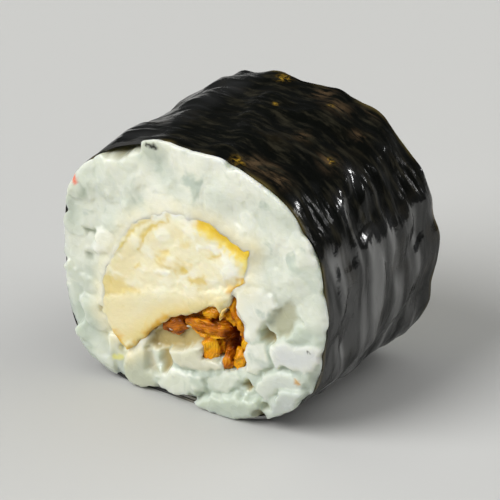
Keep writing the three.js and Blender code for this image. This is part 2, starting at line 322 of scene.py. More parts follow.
# Camera, light and floor
stageLook = {
    "azimuth": 33.96,
    "elevation": 26.66,
    "distance": 329.4,
    "lens": 229.6,
    "aimRight": 0.02,
    "aimUp": -0.79,
    "floorReach": 4,
    "floorColour": tint(192, 192, 189),
    "floorRoughness": 0.8,
    "worldColour": (0.075, 0.076, 0.078, 1.0),
    "suns": {  # where each comes from, its strength, its spread in degrees and whether it is mirrored
        "key": ((-0.50, -0.85, 0.90), 3.15, 40, True),
        "top": ((0.10, 0.15, 1.0), 0.8, 75, False),
        "fill": ((0.75, 0.65, 0.60), 1.1, 60, False),
    },
    "glints": {  # small lights for the highlights alone: place, size and power
        "noriGlint": ((0.50, 0.665, 0.35), 0.06, 0.34),
        "wetGlint": ((-0.28, -0.46, 0.58), 0.02, 0.4),
    },
}


def lookFrom(thing, back):  # turns a camera or a light to look against a direction
    thing.rotation_euler = (-Vector(back)).to_track_quat("-Z", "Y").to_euler()


def makeCamera():
    azimuth, elevation = math.radians(stageLook["azimuth"]), math.radians(stageLook["elevation"])
    back = Vector((math.sin(azimuth) * math.cos(elevation), -math.cos(azimuth) * math.cos(elevation),
                   math.sin(elevation)))
    right = Vector((math.cos(azimuth), math.sin(azimuth), 0))
    up = back.cross(right)
    aim = Vector(axisPlace) + right * stageLook["aimRight"] + up * stageLook["aimUp"]
    camera = addObject("camera", bpy.data.cameras.new("camera"))
    camera.data.lens = stageLook["lens"]
    camera.data.clip_start = 0.01
    camera.location = (aim + back * stageLook["distance"]) * 0.001
    lookFrom(camera, back)
    bpy.context.scene.camera = camera


def addLight(name, kind, origin, power):
    light = addObject(name, bpy.data.lights.new(name, kind))
    light.data.energy = power
    light.location = origin
    lookFrom(light, origin)
    return light


def makeLights():
    scene = bpy.context.scene
    scene.view_settings.view_transform = "Standard"
    world = bpy.data.worlds.new("studio")
    world.use_nodes = True
    world.node_tree.nodes["Background"].inputs["Color"].default_value = stageLook["worldColour"]
    scene.world = world
    for name, (origin, strength, spread, mirrored) in stageLook["suns"].items():
        sun = addLight(name, "SUN", origin, strength)
        sun.data.angle = math.radians(spread)
        sun.visible_glossy = mirrored
    for name, (origin, size, power) in stageLook["glints"].items():
        glint = addLight(name, "AREA", origin, power)
        glint.data.shape = "DISK"
        glint.data.size = size
        glint.visible_diffuse = False


def makeFloor():
    reach = stageLook["floorReach"]
    corners = [(-reach, -reach, 0), (reach, -reach, 0), (reach, reach, 0), (-reach, reach, 0)]
    floor = newPiece("floor", corners, [(0, 1, 2, 3)])
    material, tree, shader, _ = newMaterial("paleFloor")
    values = {"Base Color": stageLook["floorColour"], "Roughness": stageLook["floorRoughness"]}
    setSockets(tree, shader, values)
    floor.data.materials.append(material)


makeCamera()
makeLights()
makeFloor()
print("stage ready")


# The roll's own outline, measured on the frame's nori

def blurred(field, width):
    reach = int(3 * width)
    shares = np.exp(-0.5 * (np.arange(-reach, reach + 1) / width) ** 2)
    shares /= shares.sum()
    for axis in (0, 1):
        margins = [(reach, reach) if k == axis else (0, 0) for k in (0, 1)]
        wide = np.pad(field, margins, mode="edge")
        count = field.shape[axis]
        field = sum(share * np.take(wide, range(k, k + count), axis) for k, share in enumerate(shares))
    return field


def measureRoll():  # distance from the axis to the nori's outside, from the lap's edge once round
    tree = cadTree("nori_sheet")
    gap, end = rollPlace["mapGap"], noriHalf - rollPlace["mapMargin"]
    travels = np.linspace(gap, fullTurn - gap, rollPlace["mapAround"])
    alongs = np.linspace(-end, end, rollPlace["mapAlong"])
    radii = np.empty((len(travels), len(alongs)))
    for i, travel in enumerate(travels):
        angle = rollPlace["lapEdge"] + travel
        outward = Vector((math.cos(angle), 0, math.sin(angle)))
        for j, along in enumerate(alongs):
            start = outward * rollPlace["outside"] + Vector((0, along, 0))
            hit = tree.ray_cast(start, -outward)[0]
            radii[i, j] = math.hypot(hit.x, hit.z)
    return travels, alongs, blurred(radii, rollPlace["mapBlur"])


rollTravels, rollAlongs, rollRadii = measureRoll()


def outerRadius(travel, along):
    i = np.clip((travel - rollTravels[0]) / (rollTravels[1] - rollTravels[0]), 0, len(rollTravels) - 1.001)
    j = np.clip((along - rollAlongs[0]) / (rollAlongs[1] - rollAlongs[0]), 0, len(rollAlongs) - 1.001)
    i0, j0 = i.astype(int), j.astype(int)
    a, b = i - i0, j - j0
    low = rollRadii[i0, j0] * (1 - b) + rollRadii[i0, j0 + 1] * b
    high = rollRadii[i0 + 1, j0] * (1 - b) + rollRadii[i0 + 1, j0 + 1] * b
    return low * (1 - a) + high * a


def innerRadius(angle, along):  # the inside of the nori, under both layers where they lap
    travel = np.mod(angle - rollPlace["lapEdge"], fullTurn)
    lapped = travel > fullTurn - rollPlace["lapAngle"]
    return outerRadius(travel, along) - rollPlace["noriThickness"] - rollPlace["lapStep"] * lapped


# The nori sheet
noriLook = {
    "aroundSteps": 480,
    "alongSteps": 96,
    "edgeInset": 0.1,
    "edgeRagged": 0.10,
    "edgeWidth": 0.25,  # how far in from its edge the sheet is thin enough to show light
    "wallGap": 0.02,  # how much thinner than the frame's nori the wall is
    "puckerDepth": 0.9,
    "dentDepth": 0.3,
    "crinkleDepth": 0.06,
    "inwardLimit": 0.22,  # how far a dent may go in before it meets the rice
    "dullMiddle": 65,  # degrees round the roll where the sheet is least wet
    "dryFlank": 0.9,  # how much less wet the flank is that doesn't show
    "leaf": (0.0022, 0.0026, 0.0018, 1.0),
    "olive": (0.009, 0.0072, 0.0035, 1.0),
    # lighter threads along the sheet: partly the leaf's fibres, partly painted sheen
    "fibreAndSheen": (0.024, 0.0215, 0.013, 1.0),
    "edge": tint(80, 70, 38),
    "brownPatch": (0.085, 0.055, 0.028, 1.0),
    "goldSpot": (0.42, 0.25, 0.02, 1.0),
    "bumps": [  # bulges: degrees round the roll, place along it, height and reach
        (43, -1.6, 0.75, 2.2), (47, 6.0, 0.35, 1.8), (28, 9.8, 0.4, 2.2), (5, 10.6, 0.5, 2.2),
        (-24, 10.4, 0.45, 2.0),
    ],
    "wetSpots": [  # the wettest places: degrees round, place along, reach and amount
        (41, -0.1, 1.4, 1.0), (34, -3.9, 1.5, 1.0), (44.5, -9.8, 1.0, 0.8), (45, 6.0, 0.9, 0.8),
        (28, 10.4, 0.9, 0.7), (45, -5.4, 0.7, 0.6),
    ],
    "thinPlaces": {  # where the sheet shows brown or golden: degrees, place along and size
        "brownPatch": [
            (66, -8.3, 1.1), (60, -8.2, 1.2), (54, -8.6, 0.9), (68, 7.3, 1.3), (57, 10.2, 1.0),
            (52, 5.3, 0.8), (65, -0.4, 0.7), (50, -1.6, 1.0), (78, 8.8, 1.1),
        ],
        "goldSpot": [
            (70.8, -9.4, 0.55), (97.8, 9.3, 0.6), (50, -1.4, 0.35), (69, 6.6, 0.3), (86, 3.0, 0.3),
        ],
    },
}


def makeNoriMaterial():
    material, tree, shader, place = newMaterial("noriLeaf")
    sheet = addNode(tree, "ShaderNodeUVMap", uv_map="sheet").outputs["UV"]
    drawnOut = vectorCalc(tree, "MULTIPLY", sheet, (0.28, 1.0, 1.0))  # long in the way round the roll
    shine = attribute(tree, "shine")
    colour = useMottle(tree, place, noriLook["leaf"], noriLook["olive"],
                       patchSize=0.005, patchShare=0.35, fleckSize=0.0006, fleckStrength=0.5)
    # threads only where the sheet is dull: partly its fibres, partly painted sheen in place of the weaker
    # coat
    fibresAndSheen = mapRange(tree, noise(tree, drawnOut, scale=1000, detail=4.0, roughness=0.65), 0.48, 0.7)
    dull = calc(tree, "SUBTRACT", 1.0, shine)
    colour = mixColour(tree, calc(tree, "MULTIPLY", fibresAndSheen, dull), colour, noriLook["fibreAndSheen"])
    for mark, lying, scale in (("brownPatch", drawnOut, 1500), ("goldSpot", sheet, 2000)):
        patches = noise(tree, lying, scale, detail=4.0, roughness=0.65, distortion=0.5)
        torn = mapRange(tree, patches, 0.42, 0.62)
        share = calc(tree, "MULTIPLY", torn, attribute(tree, mark))
        colour = mixColour(tree, share, colour, noriLook[mark])
    colour = mixColour(tree, attribute(tree, "sheetEdge"), colour, noriLook["edge"])
    tree.links.new(colour, shader.inputs["Base Color"])
    moisture = useMoisture(tree, shader, place, wet=0.25, dry=0.45, patchSize=0.004, grainSize=0.0004,
                           depth=0.00002)
    streaks = noise(tree, drawnOut, scale=1200)
    streakBump = addNode(tree, "ShaderNodeBump", {"Height": streaks, "Distance": 0.0001})
    tree.links.new(streakBump.outputs["Normal"], moisture.inputs["Normal"])
    tree.links.new(moisture.outputs["Normal"], shader.inputs["Coat Normal"])
    patches = noise(tree, drawnOut, scale=420, distortion=0.8)
    wet = mapRange(tree, patches, 0.4, 0.6, toLow=0.5)
    folds = noise(tree, vectorCalc(tree, "MULTIPLY", sheet, (0.1, 1.0, 1.0)), scale=330, detail=1.0)
    wet = calc(tree, "MULTIPLY", wet, mapRange(tree, folds, 0.42, 0.6, toLow=0.38))
    setSockets(tree, shader, {
        "Coat Weight": calc(tree, "MULTIPLY", wet, shine), "Coat Roughness": 0.14, "Coat IOR": 2.8,
        "Specular IOR Level": 0.06})
    return material


def makeNoriTree():  # puckers, dents and fine crinkles of a damp sheet, laid out on the unrolled sheet
    inputs = {"Geometry": "Geometry", "Pucker Depth": "Float", "Dent Depth": "Float",
              "Crinkle Depth": "Float", "Inward Limit": "Float", "Material": "Material"}
    tree, given, made = newTree("noriRelief", "GeometryNodeTree", inputs, {"Geometry": "Geometry"})
    sheet = carried(tree, "sheetPlace", "FLOAT_VECTOR")
    relief = carried(tree, "sheetBump")
    layers = (  # depth, cells in a millimetre of the sheet, and detail
        ("Pucker Depth", (0.15, 0.2, 0.0), 1.0),
        ("Dent Depth", (0.15, 0.5, 0.0), 2.0),
        ("Crinkle Depth", (0.5, 1.4, 0.0), 3.0),
    )
    for depth, stretch, detail in layers:
        lying = vectorCalc(tree, "MULTIPLY", sheet, stretch)
        field = calc(tree, "SUBTRACT", noise(tree, lying, 1.0, detail, distortion=0.4), 0.5)
        layer = calc(tree, "MULTIPLY", field, calc(tree, "MULTIPLY", given[depth], 2.0))
        relief = calc(tree, "ADD", relief, layer)
    relief = calc(tree, "MULTIPLY", relief, carried(tree, "sheetFree"))
    deepest = calc(tree, "MULTIPLY", given["Inward Limit"], -1.0)
    relief = calc(tree, "SMOOTH_MAX", relief, deepest, 0.15)
    offset = scaled(tree, addNode(tree, "GeometryNodeInputNormal").outputs[0], relief)
    moved = addNode(tree, "GeometryNodeSetPosition", {"Geometry": given["Geometry"], "Offset": offset})
    return endTree(tree, given, made, moved.outputs[0])


def nearSpot(sheet, degrees, place, reach):  # 1 at a place on the roll, fading to 0 round it
    travel = np.mod(math.radians(degrees) - rollPlace["lapEdge"], fullTurn) * sheetRadius
    return bell(np.hypot(sheet[:, 0] - travel, sheet[:, 1] - place), reach)


def makeNori():
    around, alongs = noriLook["aroundSteps"], noriLook["alongSteps"]
    travel = np.linspace(-rollPlace["lapAngle"], fullTurn, around)
    angle = rollPlace["lapEdge"] + travel
    ring = np.stack([np.cos(angle), np.sin(angle)], 1) * 15  # a circle to lay the ragged edges out on
    end = noriHalf - noriLook["edgeInset"]
    fronts = -end + noriLook["edgeRagged"] * ripple(ring, 5.0, 3)
    backs = end + noriLook["edgeRagged"] * ripple(ring, 5.0, 4)
    share = np.linspace(0, 1, alongs)[None, :]
    along = fronts[:, None] * (1 - share) + backs[:, None] * share
    under = travel < 0
    radius = outerRadius(np.repeat(np.where(under, travel + fullTurn, travel), alongs), along.ravel())
    radius = radius.reshape(around, alongs) - np.where(under, rollPlace["lapStep"], 0)[:, None]
    rolled = [radius * np.cos(angle)[:, None], along, radius * np.sin(angle)[:, None]]
    points = np.stack(rolled, 2).reshape(-1, 3)
    number = np.arange(around * alongs).reshape(around, alongs)
    faces = np.stack([number[:-1, :-1], number[:-1, 1:], number[1:, 1:], number[1:, :-1]], 2).reshape(-1, 4)
    piece = newPiece("noriSheet", points, faces)
    mesh = piece.data
    sheet = np.stack([np.repeat(travel * sheetRadius, alongs), along.ravel(), np.zeros(around * alongs)], 1)
    storeValues(mesh, "sheetPlace", sheet, "FLOAT_VECTOR")
    markNori(mesh, sheet, points, np.degrees(np.repeat(angle, alongs)))
    fromEdge = np.minimum(along - fronts[:, None], backs[:, None] - along)
    thin = smoothStep(-0.2, 0.8, ripple(ring, 6.0, 5))[:, None]
    storeValues(mesh, "sheetEdge", (thin * bell(fromEdge, noriLook["edgeWidth"])).ravel())
    corners = np.empty(len(mesh.loops), np.int32)
    mesh.loops.foreach_get("vertex_index", corners)
    uv = mesh.uv_layers.new(name="sheet")
    uv.data.foreach_set("uv", (sheet[corners, :2] * 0.001).astype(np.float32).ravel())
    useTree(piece, makeNoriTree(), {
        "Pucker Depth": noriLook["puckerDepth"],
        "Dent Depth": noriLook["dentDepth"],
        "Crinkle Depth": noriLook["crinkleDepth"],
        "Inward Limit": noriLook["inwardLimit"],
        "Material": makeNoriMaterial(),
    })
    wall = piece.modifiers.new("wall", "SOLIDIFY")
    wall.thickness = rollPlace["noriThickness"] - noriLook["wallGap"]
    wall.offset = -1
    plainMesh(piece)
    finishPiece(piece, "nori_sheet", sharpAngle=50)


def markNori(mesh, sheet, points, degreesRound):  # how free, raised, wet and thin each point of the sheet is
    lift = points[:, 2] + rollPlace["axisZ"]
    inward = smoothStep(0.2, 2.0, points[:, 1] + noriHalf)
    storeValues(mesh, "sheetFree", smoothStep(0.3, 3.5, lift) * (0.4 + 0.6 * inward))
    bump = np.zeros(len(points))
    for degrees, place, height, reach in noriLook["bumps"]:
        bump += height * nearSpot(sheet, degrees, place, reach)
    storeValues(mesh, "sheetBump", bump)
    turned = (degreesRound - noriLook["dullMiddle"] + 180) % 360 - 180
    fromDull = np.abs(turned)
    shine = 0.08 + 0.92 * smoothStep(38, 47, fromDull) + 0.3 * smoothStep(70, 110, fromDull)
    shine *= 1 - noriLook["dryFlank"] * smoothStep(60, 85, turned) * smoothStep(180, 150, turned)
    for degrees, place, reach, amount in noriLook["wetSpots"]:
        shine = np.maximum(shine, amount * nearSpot(sheet, degrees, place, reach))
    storeValues(mesh, "shine", shine)
    for mark, places in noriLook["thinPlaces"].items():
        storeValues(mesh, mark, np.max([nearSpot(sheet, *spot) for spot in places], 0))


makeNori()


# Work on whole pieces

def prism(outline, half):  # an outline in the section, clockwise, drawn out to both sides
    count = len(outline)
    points = [(x, y, z) for y in (-half, half) for x, z in outline]
    faces = [list(range(count))[::-1], list(range(count, 2 * count))]
    for k in range(count):
        after = (k + 1) % count
        faces.append((k, after, after + count, k + count))
    return points, faces


def evened(piece, voxel):  # the piece's parts fused into one skin of even small faces
    remesh = piece.modifiers.new("even", "REMESH")
    remesh.mode = "VOXEL"
    remesh.voxel_size = voxel
    return plainMesh(piece)


def cutAway(piece, shape, stretch=1.0, width=1.0):  # takes the room of another piece's mesh out of this one
    room = addObject("room", shape.copy())
    middle = Matrix.Translation(Vector(pointsOf(shape).mean(0)))
    room.data.transform(middle @ Matrix.Diagonal((width, stretch, width, 1.0)) @ middle.inverted())
    cut = piece.modifiers.new("cut", "BOOLEAN")
    cut.object = room
    cut.operation = "DIFFERENCE"
    cut.solver = "MANIFOLD"
    before = len(piece.data.vertices)
    mesh = plainMesh(piece)
    bpy.data.objects.remove(room)
    if len(mesh.vertices) == before:
        raise RuntimeError("nothing was cut from " + piece.name)
    return mesh


def softened(piece, factor, rounds):
    soften = piece.modifiers.new("soften", "SMOOTH")
    soften.factor = factor
    soften.iterations = rounds
    return plainMesh(piece)


def makeScrapTree():  # drops loose scraps of fewer points than a limit
    inputs = {"Geometry": "Geometry", "Least Points": "Int", "Material": "Material"}
    tree, given, made = newTree("dropScraps", "GeometryNodeTree", inputs, {"Geometry": "Geometry"})
    island = addNode(tree, "GeometryNodeInputMeshIsland").outputs["Island Index"]
    count = addNode(tree, "GeometryNodeAccumulateField", {"Value": 1.0, "Group ID": island})
    small = calc(tree, "LESS_THAN", count.outputs["Total"], given["Least Points"])
    kept = addNode(tree, "GeometryNodeDeleteGeometry", {"Geometry": given["Geometry"], "Selection": small})
    return endTree(tree, given, made, kept.outputs[0])


scrapTree = makeScrapTree()
leastPoints = 4000  # what is cut loose with fewer points than this is a scrap


def thinned(piece, triangles, material):
    useTree(piece, scrapTree, {"Least Points": leastPoints, "Material": material})
    mesh = plainMesh(piece)
    mesh.calc_loop_triangles()
    thin = piece.modifiers.new("thin", "DECIMATE")
    thin.ratio = min(1.0, triangles / len(mesh.loop_triangles))
    return plainMesh(piece)


# The fish
fishLook = {
    "voxel": 0.13,
    "triangles": 110000,
    "raggedness": 0.13,
    "standOut": 0.2,
    "swell": 0.03,  # how much larger than its outline it is above its tip, so that no gap shows
    "flakeStep": 0.035,
    "flesh": tint(239, 232, 198),
    "marks": {  # colours that lie over the flesh, the last on top
        # pale: the flesh's own paleness, and painted light on raised flakes and along the top edge
        "paleAndLit": tint(246, 244, 226),
        # tan: the flesh's own tan, and painted shade under flakes, in creases and by the low edge
        "tanAndShade": tint(224, 200, 114),
        # amber: browned edges, and painted shade in the notch by the crust
        "amberAndShade": tint(226, 174, 44),
        "crust": tint(250, 225, 114),
        "crustEdge": tint(232, 186, 8),
    },
    "outline": [  # the fish in the section, clockwise from the top
        (-2.5, 7.0), (-0.3, 7.2), (1.2, 7.2), (2.6, 7.2), (3.4, 6.7), (4.7, 6.4), (6.0, 5.6),
        (6.6, 5.5), (7.4, 5.8), (7.1, 4.7), (7.0, 3.6), (6.7, 2.7), (6.8, 1.9), (5.5, 1.0), (4.9, -0.5),
        (4.3, -1.5), (3.8, -2.5), (3.2, -1.9), (2.1, -2.1), (1.1, -2.9), (-0.4, -3.8), (-2.2, -4.5),
        (-3.5, -5.4), (-5.6, -8.0), (-8.0, -10.1), (-9.7, -8.5), (-10.8, -6.3), (-10.7, -4.8),
        (-10.5, -2.5), (-10.1, -1.3), (-8.8, 1.0), (-8.0, 2.9), (-6.8, 4.7), (-4.8, 5.9),
    ],
    "crustPlace": [  # the browned edge
        (1.3, 7.8), (2.6, 7.8), (4.7, 7.1), (6.2, 6.2), (8.0, 6.2), (7.6, 4.4), (7.5, 3.0), (6.6, 2.9),
        (6.3, 4.0), (5.4, 4.4), (4.4, 4.9), (3.4, 5.5), (2.4, 5.6), (1.2, 6.0),
    ],
    "crustLine": [  # where it is brownest
        (1.5, 7.3), (2.6, 7.2), (3.4, 6.7), (4.7, 6.4), (6.0, 5.6), (7.4, 5.8), (7.3, 5.3),
    ],
    "lowEdge": [  # the edge over the onion and down to the tip
        (3.2, -1.9), (1.1, -2.9), (-0.4, -3.8), (-2.2, -4.5), (-3.5, -5.4), (-5.6, -8.0), (-8.0, -10.1),
    ],
    "creases": [  # lines between flakes: path, depth, width, and how much higher the left is
        ([(-2.3, 7.1), (-2.7, 6.1), (-4.3, 5.2), (-5.3, 4.2), (-5.7, 3.1), (-5.9, 2.1), (-6.4, 1.7)],
         0.05, 0.22, -0.02),
        ([(-4.4, 5.9), (-5.4, 5.4), (-6.7, 4.6), (-7.3, 3.6), (-7.5, 2.5), (-8.5, 1.2), (-9.7, 0.1)],
         0.05, 0.22, -0.02),
        ([(-10.5, -4.7), (-8.2, -3.3), (-5.3, -2.0), (-3.1, -1.5), (-0.8, -1.1), (2.0, -1.7)],
         0.05, 0.4, -0.05),
        ([(6.8, 2.3), (5.8, 1.3), (4.1, 0.6), (2.6, -0.1)], 0.2, 0.3, 0.12),
        ([(-2.1, 3.4), (-3.3, 2.3), (-4.0, 1.3)], 0.05, 0.3, 0.03),
    ],
    "amberLines": [  # lines that are stained amber, the last one painted shade in the notch by the crust: path, width and strength
        ([(-2.9, -4.7), (-3.5, -5.4), (-4.5, -6.7), (-5.2, -7.5)], 0.38, 1.0),
        ([(-5.2, -7.5), (-6.1, -8.7), (-7.2, -9.8), (-8.0, -10.0), (-8.9, -9.4), (-9.6, -8.6)],
         0.32, 0.8),
        ([(-0.3, -3.3), (-2.6, -4.6)], 0.5, 0.3),
        ([(-9.2, -8.2), (-8.2, -9.8)], 0.3, 1.0),
        ([(6.8, 2.2), (6.0, 1.2), (5.2, 0.7)], 0.45, 0.9),
    ],
    "tanLines": [  # lines that are tanned, partly painted shade in the creases: path, width and strength
        ([(-2.3, 7.1), (-2.7, 6.1), (-4.3, 5.2), (-5.3, 4.2), (-5.7, 3.1), (-6.0, 2.0)], 0.28, 1.0),
        ([(-4.4, 6.0), (-5.4, 5.5), (-6.5, 4.7), (-7.3, 3.6), (-7.8, 2.5), (-8.7, 1.4)], 0.35, 0.9),
    ],
    "flakes": [  # flakes that stand out of the shown cut: corners, height and how pale they are, partly painted light
        ([(-4.5, 0.4), (-3.6, 0.8), (-1.8, 1.1), (-1.8, 0.5), (-3.1, -0.1), (-4.1, -0.1)], 0.06, 0.8),
        ([(-1.5, -0.2), (-1.1, 0.6), (0.2, 1.1), (-0.2, 0.2), (-1.1, -0.6)], 0.06, 0.9),
        ([(0.8, 4.8), (2.4, 5.2), (4.0, 5.1), (5.8, 4.3), (6.1, 2.9), (5.2, 1.7), (4.1, 1.5),
          (4.0, 4.2), (2.4, 4.3), (1.0, 3.9)], 0.06, 1.0),
        ([(2.6, -1.5), (3.8, -0.3), (5.2, -0.2), (4.4, -1.4), (3.8, -2.6), (3.3, -1.9)], 0.14, 0.1),
        ([(-7.7, -8.6), (-6.9, -8.9), (-7.7, -9.6), (-8.4, -9.1)], 0.04, 0.9),
    ],
    "tanPlaces": [  # tanned places of the shown cut, some of them painted shade, as in the notch by the crust: corners and strength
        ([(-11.5, -2.2), (-9.5, -1.5), (-8.0, -1.3), (-7.7, -2.4), (-5.9, -2.3), (-6.3, -2.8),
          (-8.4, -3.8), (-11.5, -4.8)], 0.7),
        ([(2.3, 3.8), (4.0, 4.4), (3.8, 3.8), (2.5, 3.4)], 1.0),
        ([(0.0, 0.5), (2.0, 1.4), (2.3, 0.5), (0.3, -0.2)], 0.8),
        ([(-3.9, 2.0), (-3.3, 2.8), (-2.3, 3.1), (-2.5, 1.9), (-3.6, 1.5)], 0.7),
        ([(-6.8, 0.3), (-5.8, 0.6), (-5.8, 0.0), (-6.7, -0.3)], 1.0),
        ([(-0.9, 4.4), (0.3, 4.7), (0.3, 4.0), (-0.8, 3.7)], 0.5),
        ([(5.4, 1.0), (6.1, 2.0), (7.0, 2.8), (7.1, 1.9), (6.3, 0.9)], 1.0),
        ([(2.6, -1.5), (3.8, -0.6), (5.0, -0.4), (4.4, -1.4), (3.8, -2.6), (3.3, -1.9)], 0.7),
    ],
}


def nearPath(points, path, width):  # 1 on a line through points, fading to 0 beside it
    return bell(polylineDistance(points, path)[0], width)


def inPolygon(points, corners):  # how far inside a closed outline points lie, less than 0 outside
    far = polylineDistance(points, corners + corners[:1])[0]
    within = np.zeros(len(points), bool)
    for (x0, z0), (x1, z1) in zip(corners, corners[1:] + corners[:1]):
        spans = (points[:, 1] < z0) != (points[:, 1] < z1)
        crossing = x0 + (points[:, 1] - z0) / ((z1 - z0) or 1.0) * (x1 - x0)
        within ^= spans & (points[:, 0] < crossing)
    return np.where(within, far, -far)


def frayed(flat, size, seed, reach):  # points of the section shifted to and fro
    return flat + reach * np.stack([ripple(flat, size, seed), ripple(flat, size, seed + 1)], 1)


def terraced(field, steps):  # a smooth field cut into flat steps with steep edges between them
    raised = field * steps
    whole = np.floor(raised)
    return (whole + smoothStep(0.38, 0.62, raised - whole)) / steps


def flakeField(flat, side):  # where the flesh parts into flakes, and which stand higher
    upper = smoothStep(-3.0, 0.5, flat[:, 1] - 0.3 * flat[:, 0])
    return upper, ripple(frayed(flat, 1.3, 25, 0.25), 3.0, 26 + side)


def fishRelief(points, side):
    flat = points[:, [0, 2]]
    inside = inPolygon(flat, fishLook["outline"])
    drop = 0.18 * smoothStep(2.0, -2.0, flat[:, 1]) * smoothStep(-8.5, -6.0, flat[:, 0])
    relief = -drop * (1 - smoothStep(-0.2, 0.7, inside)) ** 1.5
    bent = frayed(flat, 1.1, 7, 0.14)
    for path, depth, width, step in fishLook["creases"]:
        far, left = polylineDistance(bent, path)
        relief -= depth * bell(far, width)
        relief += step * left * bell(far, 1.3) * smoothStep(0, 0.3, far)
    for corners, height, _ in fishLook["flakes"] if side < 0 else []:
        relief += height * smoothStep(-0.1, 0.3, inPolygon(frayed(flat, 0.9, 12, 0.16), corners))
    upper, field = flakeField(flat, side)
    relief += fishLook["flakeStep"] * upper * terraced(field, 2.2)
    relief += 0.05 * ripple(flat, 4.2, 20 + side) + 0.015 * upper * ripple(flat, 0.8, 22 + side, 16)
    return relief


def makeFishMaterial():
    material, tree, shader, place = newMaterial("fishFlesh")
    flesh = useMottle(tree, place, fishLook["flesh"], fishLook["marks"]["tanAndShade"],
                      patchSize=0.004, patchShare=0.3, fleckSize=0.0007, fleckStrength=0.05)
    for mark, shown in fishLook["marks"].items():
        flesh = mixColour(tree, attribute(tree, mark), flesh, shown)
    setSockets(tree, shader, {
        "Base Color": flesh, "Subsurface Weight": 0.5, "Subsurface Radius": (1.0, 0.8, 0.45),
        "Subsurface Scale": 0.0012, "IOR": 1.42})
    useMoisture(tree, shader, place, wet=0.25, dry=0.5, patchSize=0.003, grainSize=0.00045, depth=0.00006)
    return material


def makeFish():
    half = fishHalf + fishLook["standOut"]
    piece = newPiece("mackerelPiece", *prism(fishLook["outline"], half))
    mesh = evened(piece, fishLook["voxel"])
    points = pointsOf(mesh)
    swell = fishLook["swell"] * smoothStep(-6.0, -2.5, points[:, 2])
    points[:, [0, 2]] += swell[:, None] * (points[:, [0, 2]] - np.mean(fishLook["outline"], 0))
    long = points * (1.0, 0.3, 1.0)
    points[:, 0] += fishLook["raggedness"] * ripple(long, 1.3, 8)
    points[:, 2] += fishLook["raggedness"] * ripple(long, 1.3, 9)
    for side in (-1, 1):
        near = smoothStep(half - 1.6, half - 0.3, points[:, 1] * side)
        points[:, 1] += side * near * fishRelief(points, side)
    setPoints(mesh, points)
    room = softened(piece, 0.5, 1).copy()
    markFish(thinned(piece, fishLook["triangles"], makeFishMaterial()))
    return piece, room


def markFish(mesh):  # where the flesh is pale, tanned, amber or browned to a crust, from 0 to 1; the pale is partly painted light, the tan and amber partly painted shade
    points = pointsOf(mesh)
    plain = points[:, [0, 2]]
    flat = frayed(plain, 1.0, 14, 0.15)
    front = points[:, 1] < 0
    upper, field = flakeField(plain, -1)
    # paler on the raised flake steps: partly the flesh's colour, partly painted light
    paleAndLit = 0.6 * upper * smoothStep(0.0, 1.1, field)
    fromEdge = polylineDistance(flat, fishLook["lowEdge"])[0]
    # tan on the low flake steps and by the low edge over the onion: partly the flesh's colour, partly
    # painted shade
    lowTan = 0.06 + 0.12 * smoothStep(-4.5, -7.5, plain[:, 1]) + 0.52 * smoothStep(3.2, 0.2, fromEdge)
    tanAndShade = np.maximum(0.2 * upper * smoothStep(-0.2, -1.4, field), lowTan * (1 - upper))
    tanAndShade = np.maximum(tanAndShade, 0.3 * smoothStep(-4.0, -8.5, plain[:, 0]))
    for corners, _, white in fishLook["flakes"]:
        paleAndLit = np.maximum(paleAndLit, white * front * smoothStep(-0.1, 0.4, inPolygon(flat, corners)))
    for corners, strength in fishLook["tanPlaces"]:
        tanAndShade = np.maximum(tanAndShade, strength * smoothStep(-0.3, 0.35, inPolygon(flat, corners)))
    for path, width, strength in fishLook["tanLines"]:
        tanAndShade = np.maximum(tanAndShade, strength * nearPath(flat, path, width))
    # a paler rim along the top edge: painted light over the dark line where the rice meets it
    top = smoothStep(1.5, 3.5, plain[:, 1])
    top *= smoothStep(1.8, 0.8, plain[:, 0]) * smoothStep(-6.5, -4.0, plain[:, 0])
    paleAndLit = np.maximum(paleAndLit, 0.8 * top * smoothStep(0.9, 0.0, inPolygon(plain, fishLook["outline"])))
    storeValues(mesh, "paleAndLit", paleAndLit)
    storeValues(mesh, "tanAndShade", tanAndShade * (1 - 0.6 * paleAndLit))
    amberAndShade = np.zeros(len(points))
    for path, width, strength in fishLook["amberLines"]:
        amberAndShade = np.maximum(amberAndShade, strength * nearPath(flat, path, width))
    storeValues(mesh, "amberAndShade", amberAndShade)
    crusted = inPolygon(frayed(flat, 0.7, 16, 0.22), fishLook["crustPlace"])
    storeValues(mesh, "crust", smoothStep(-0.5, 0.9, crusted))
    storeValues(mesh, "crustEdge", 0.9 * nearPath(flat, fishLook["crustLine"], 0.65))


fishPiece, fishRoom = makeFish()
print("fish ready")


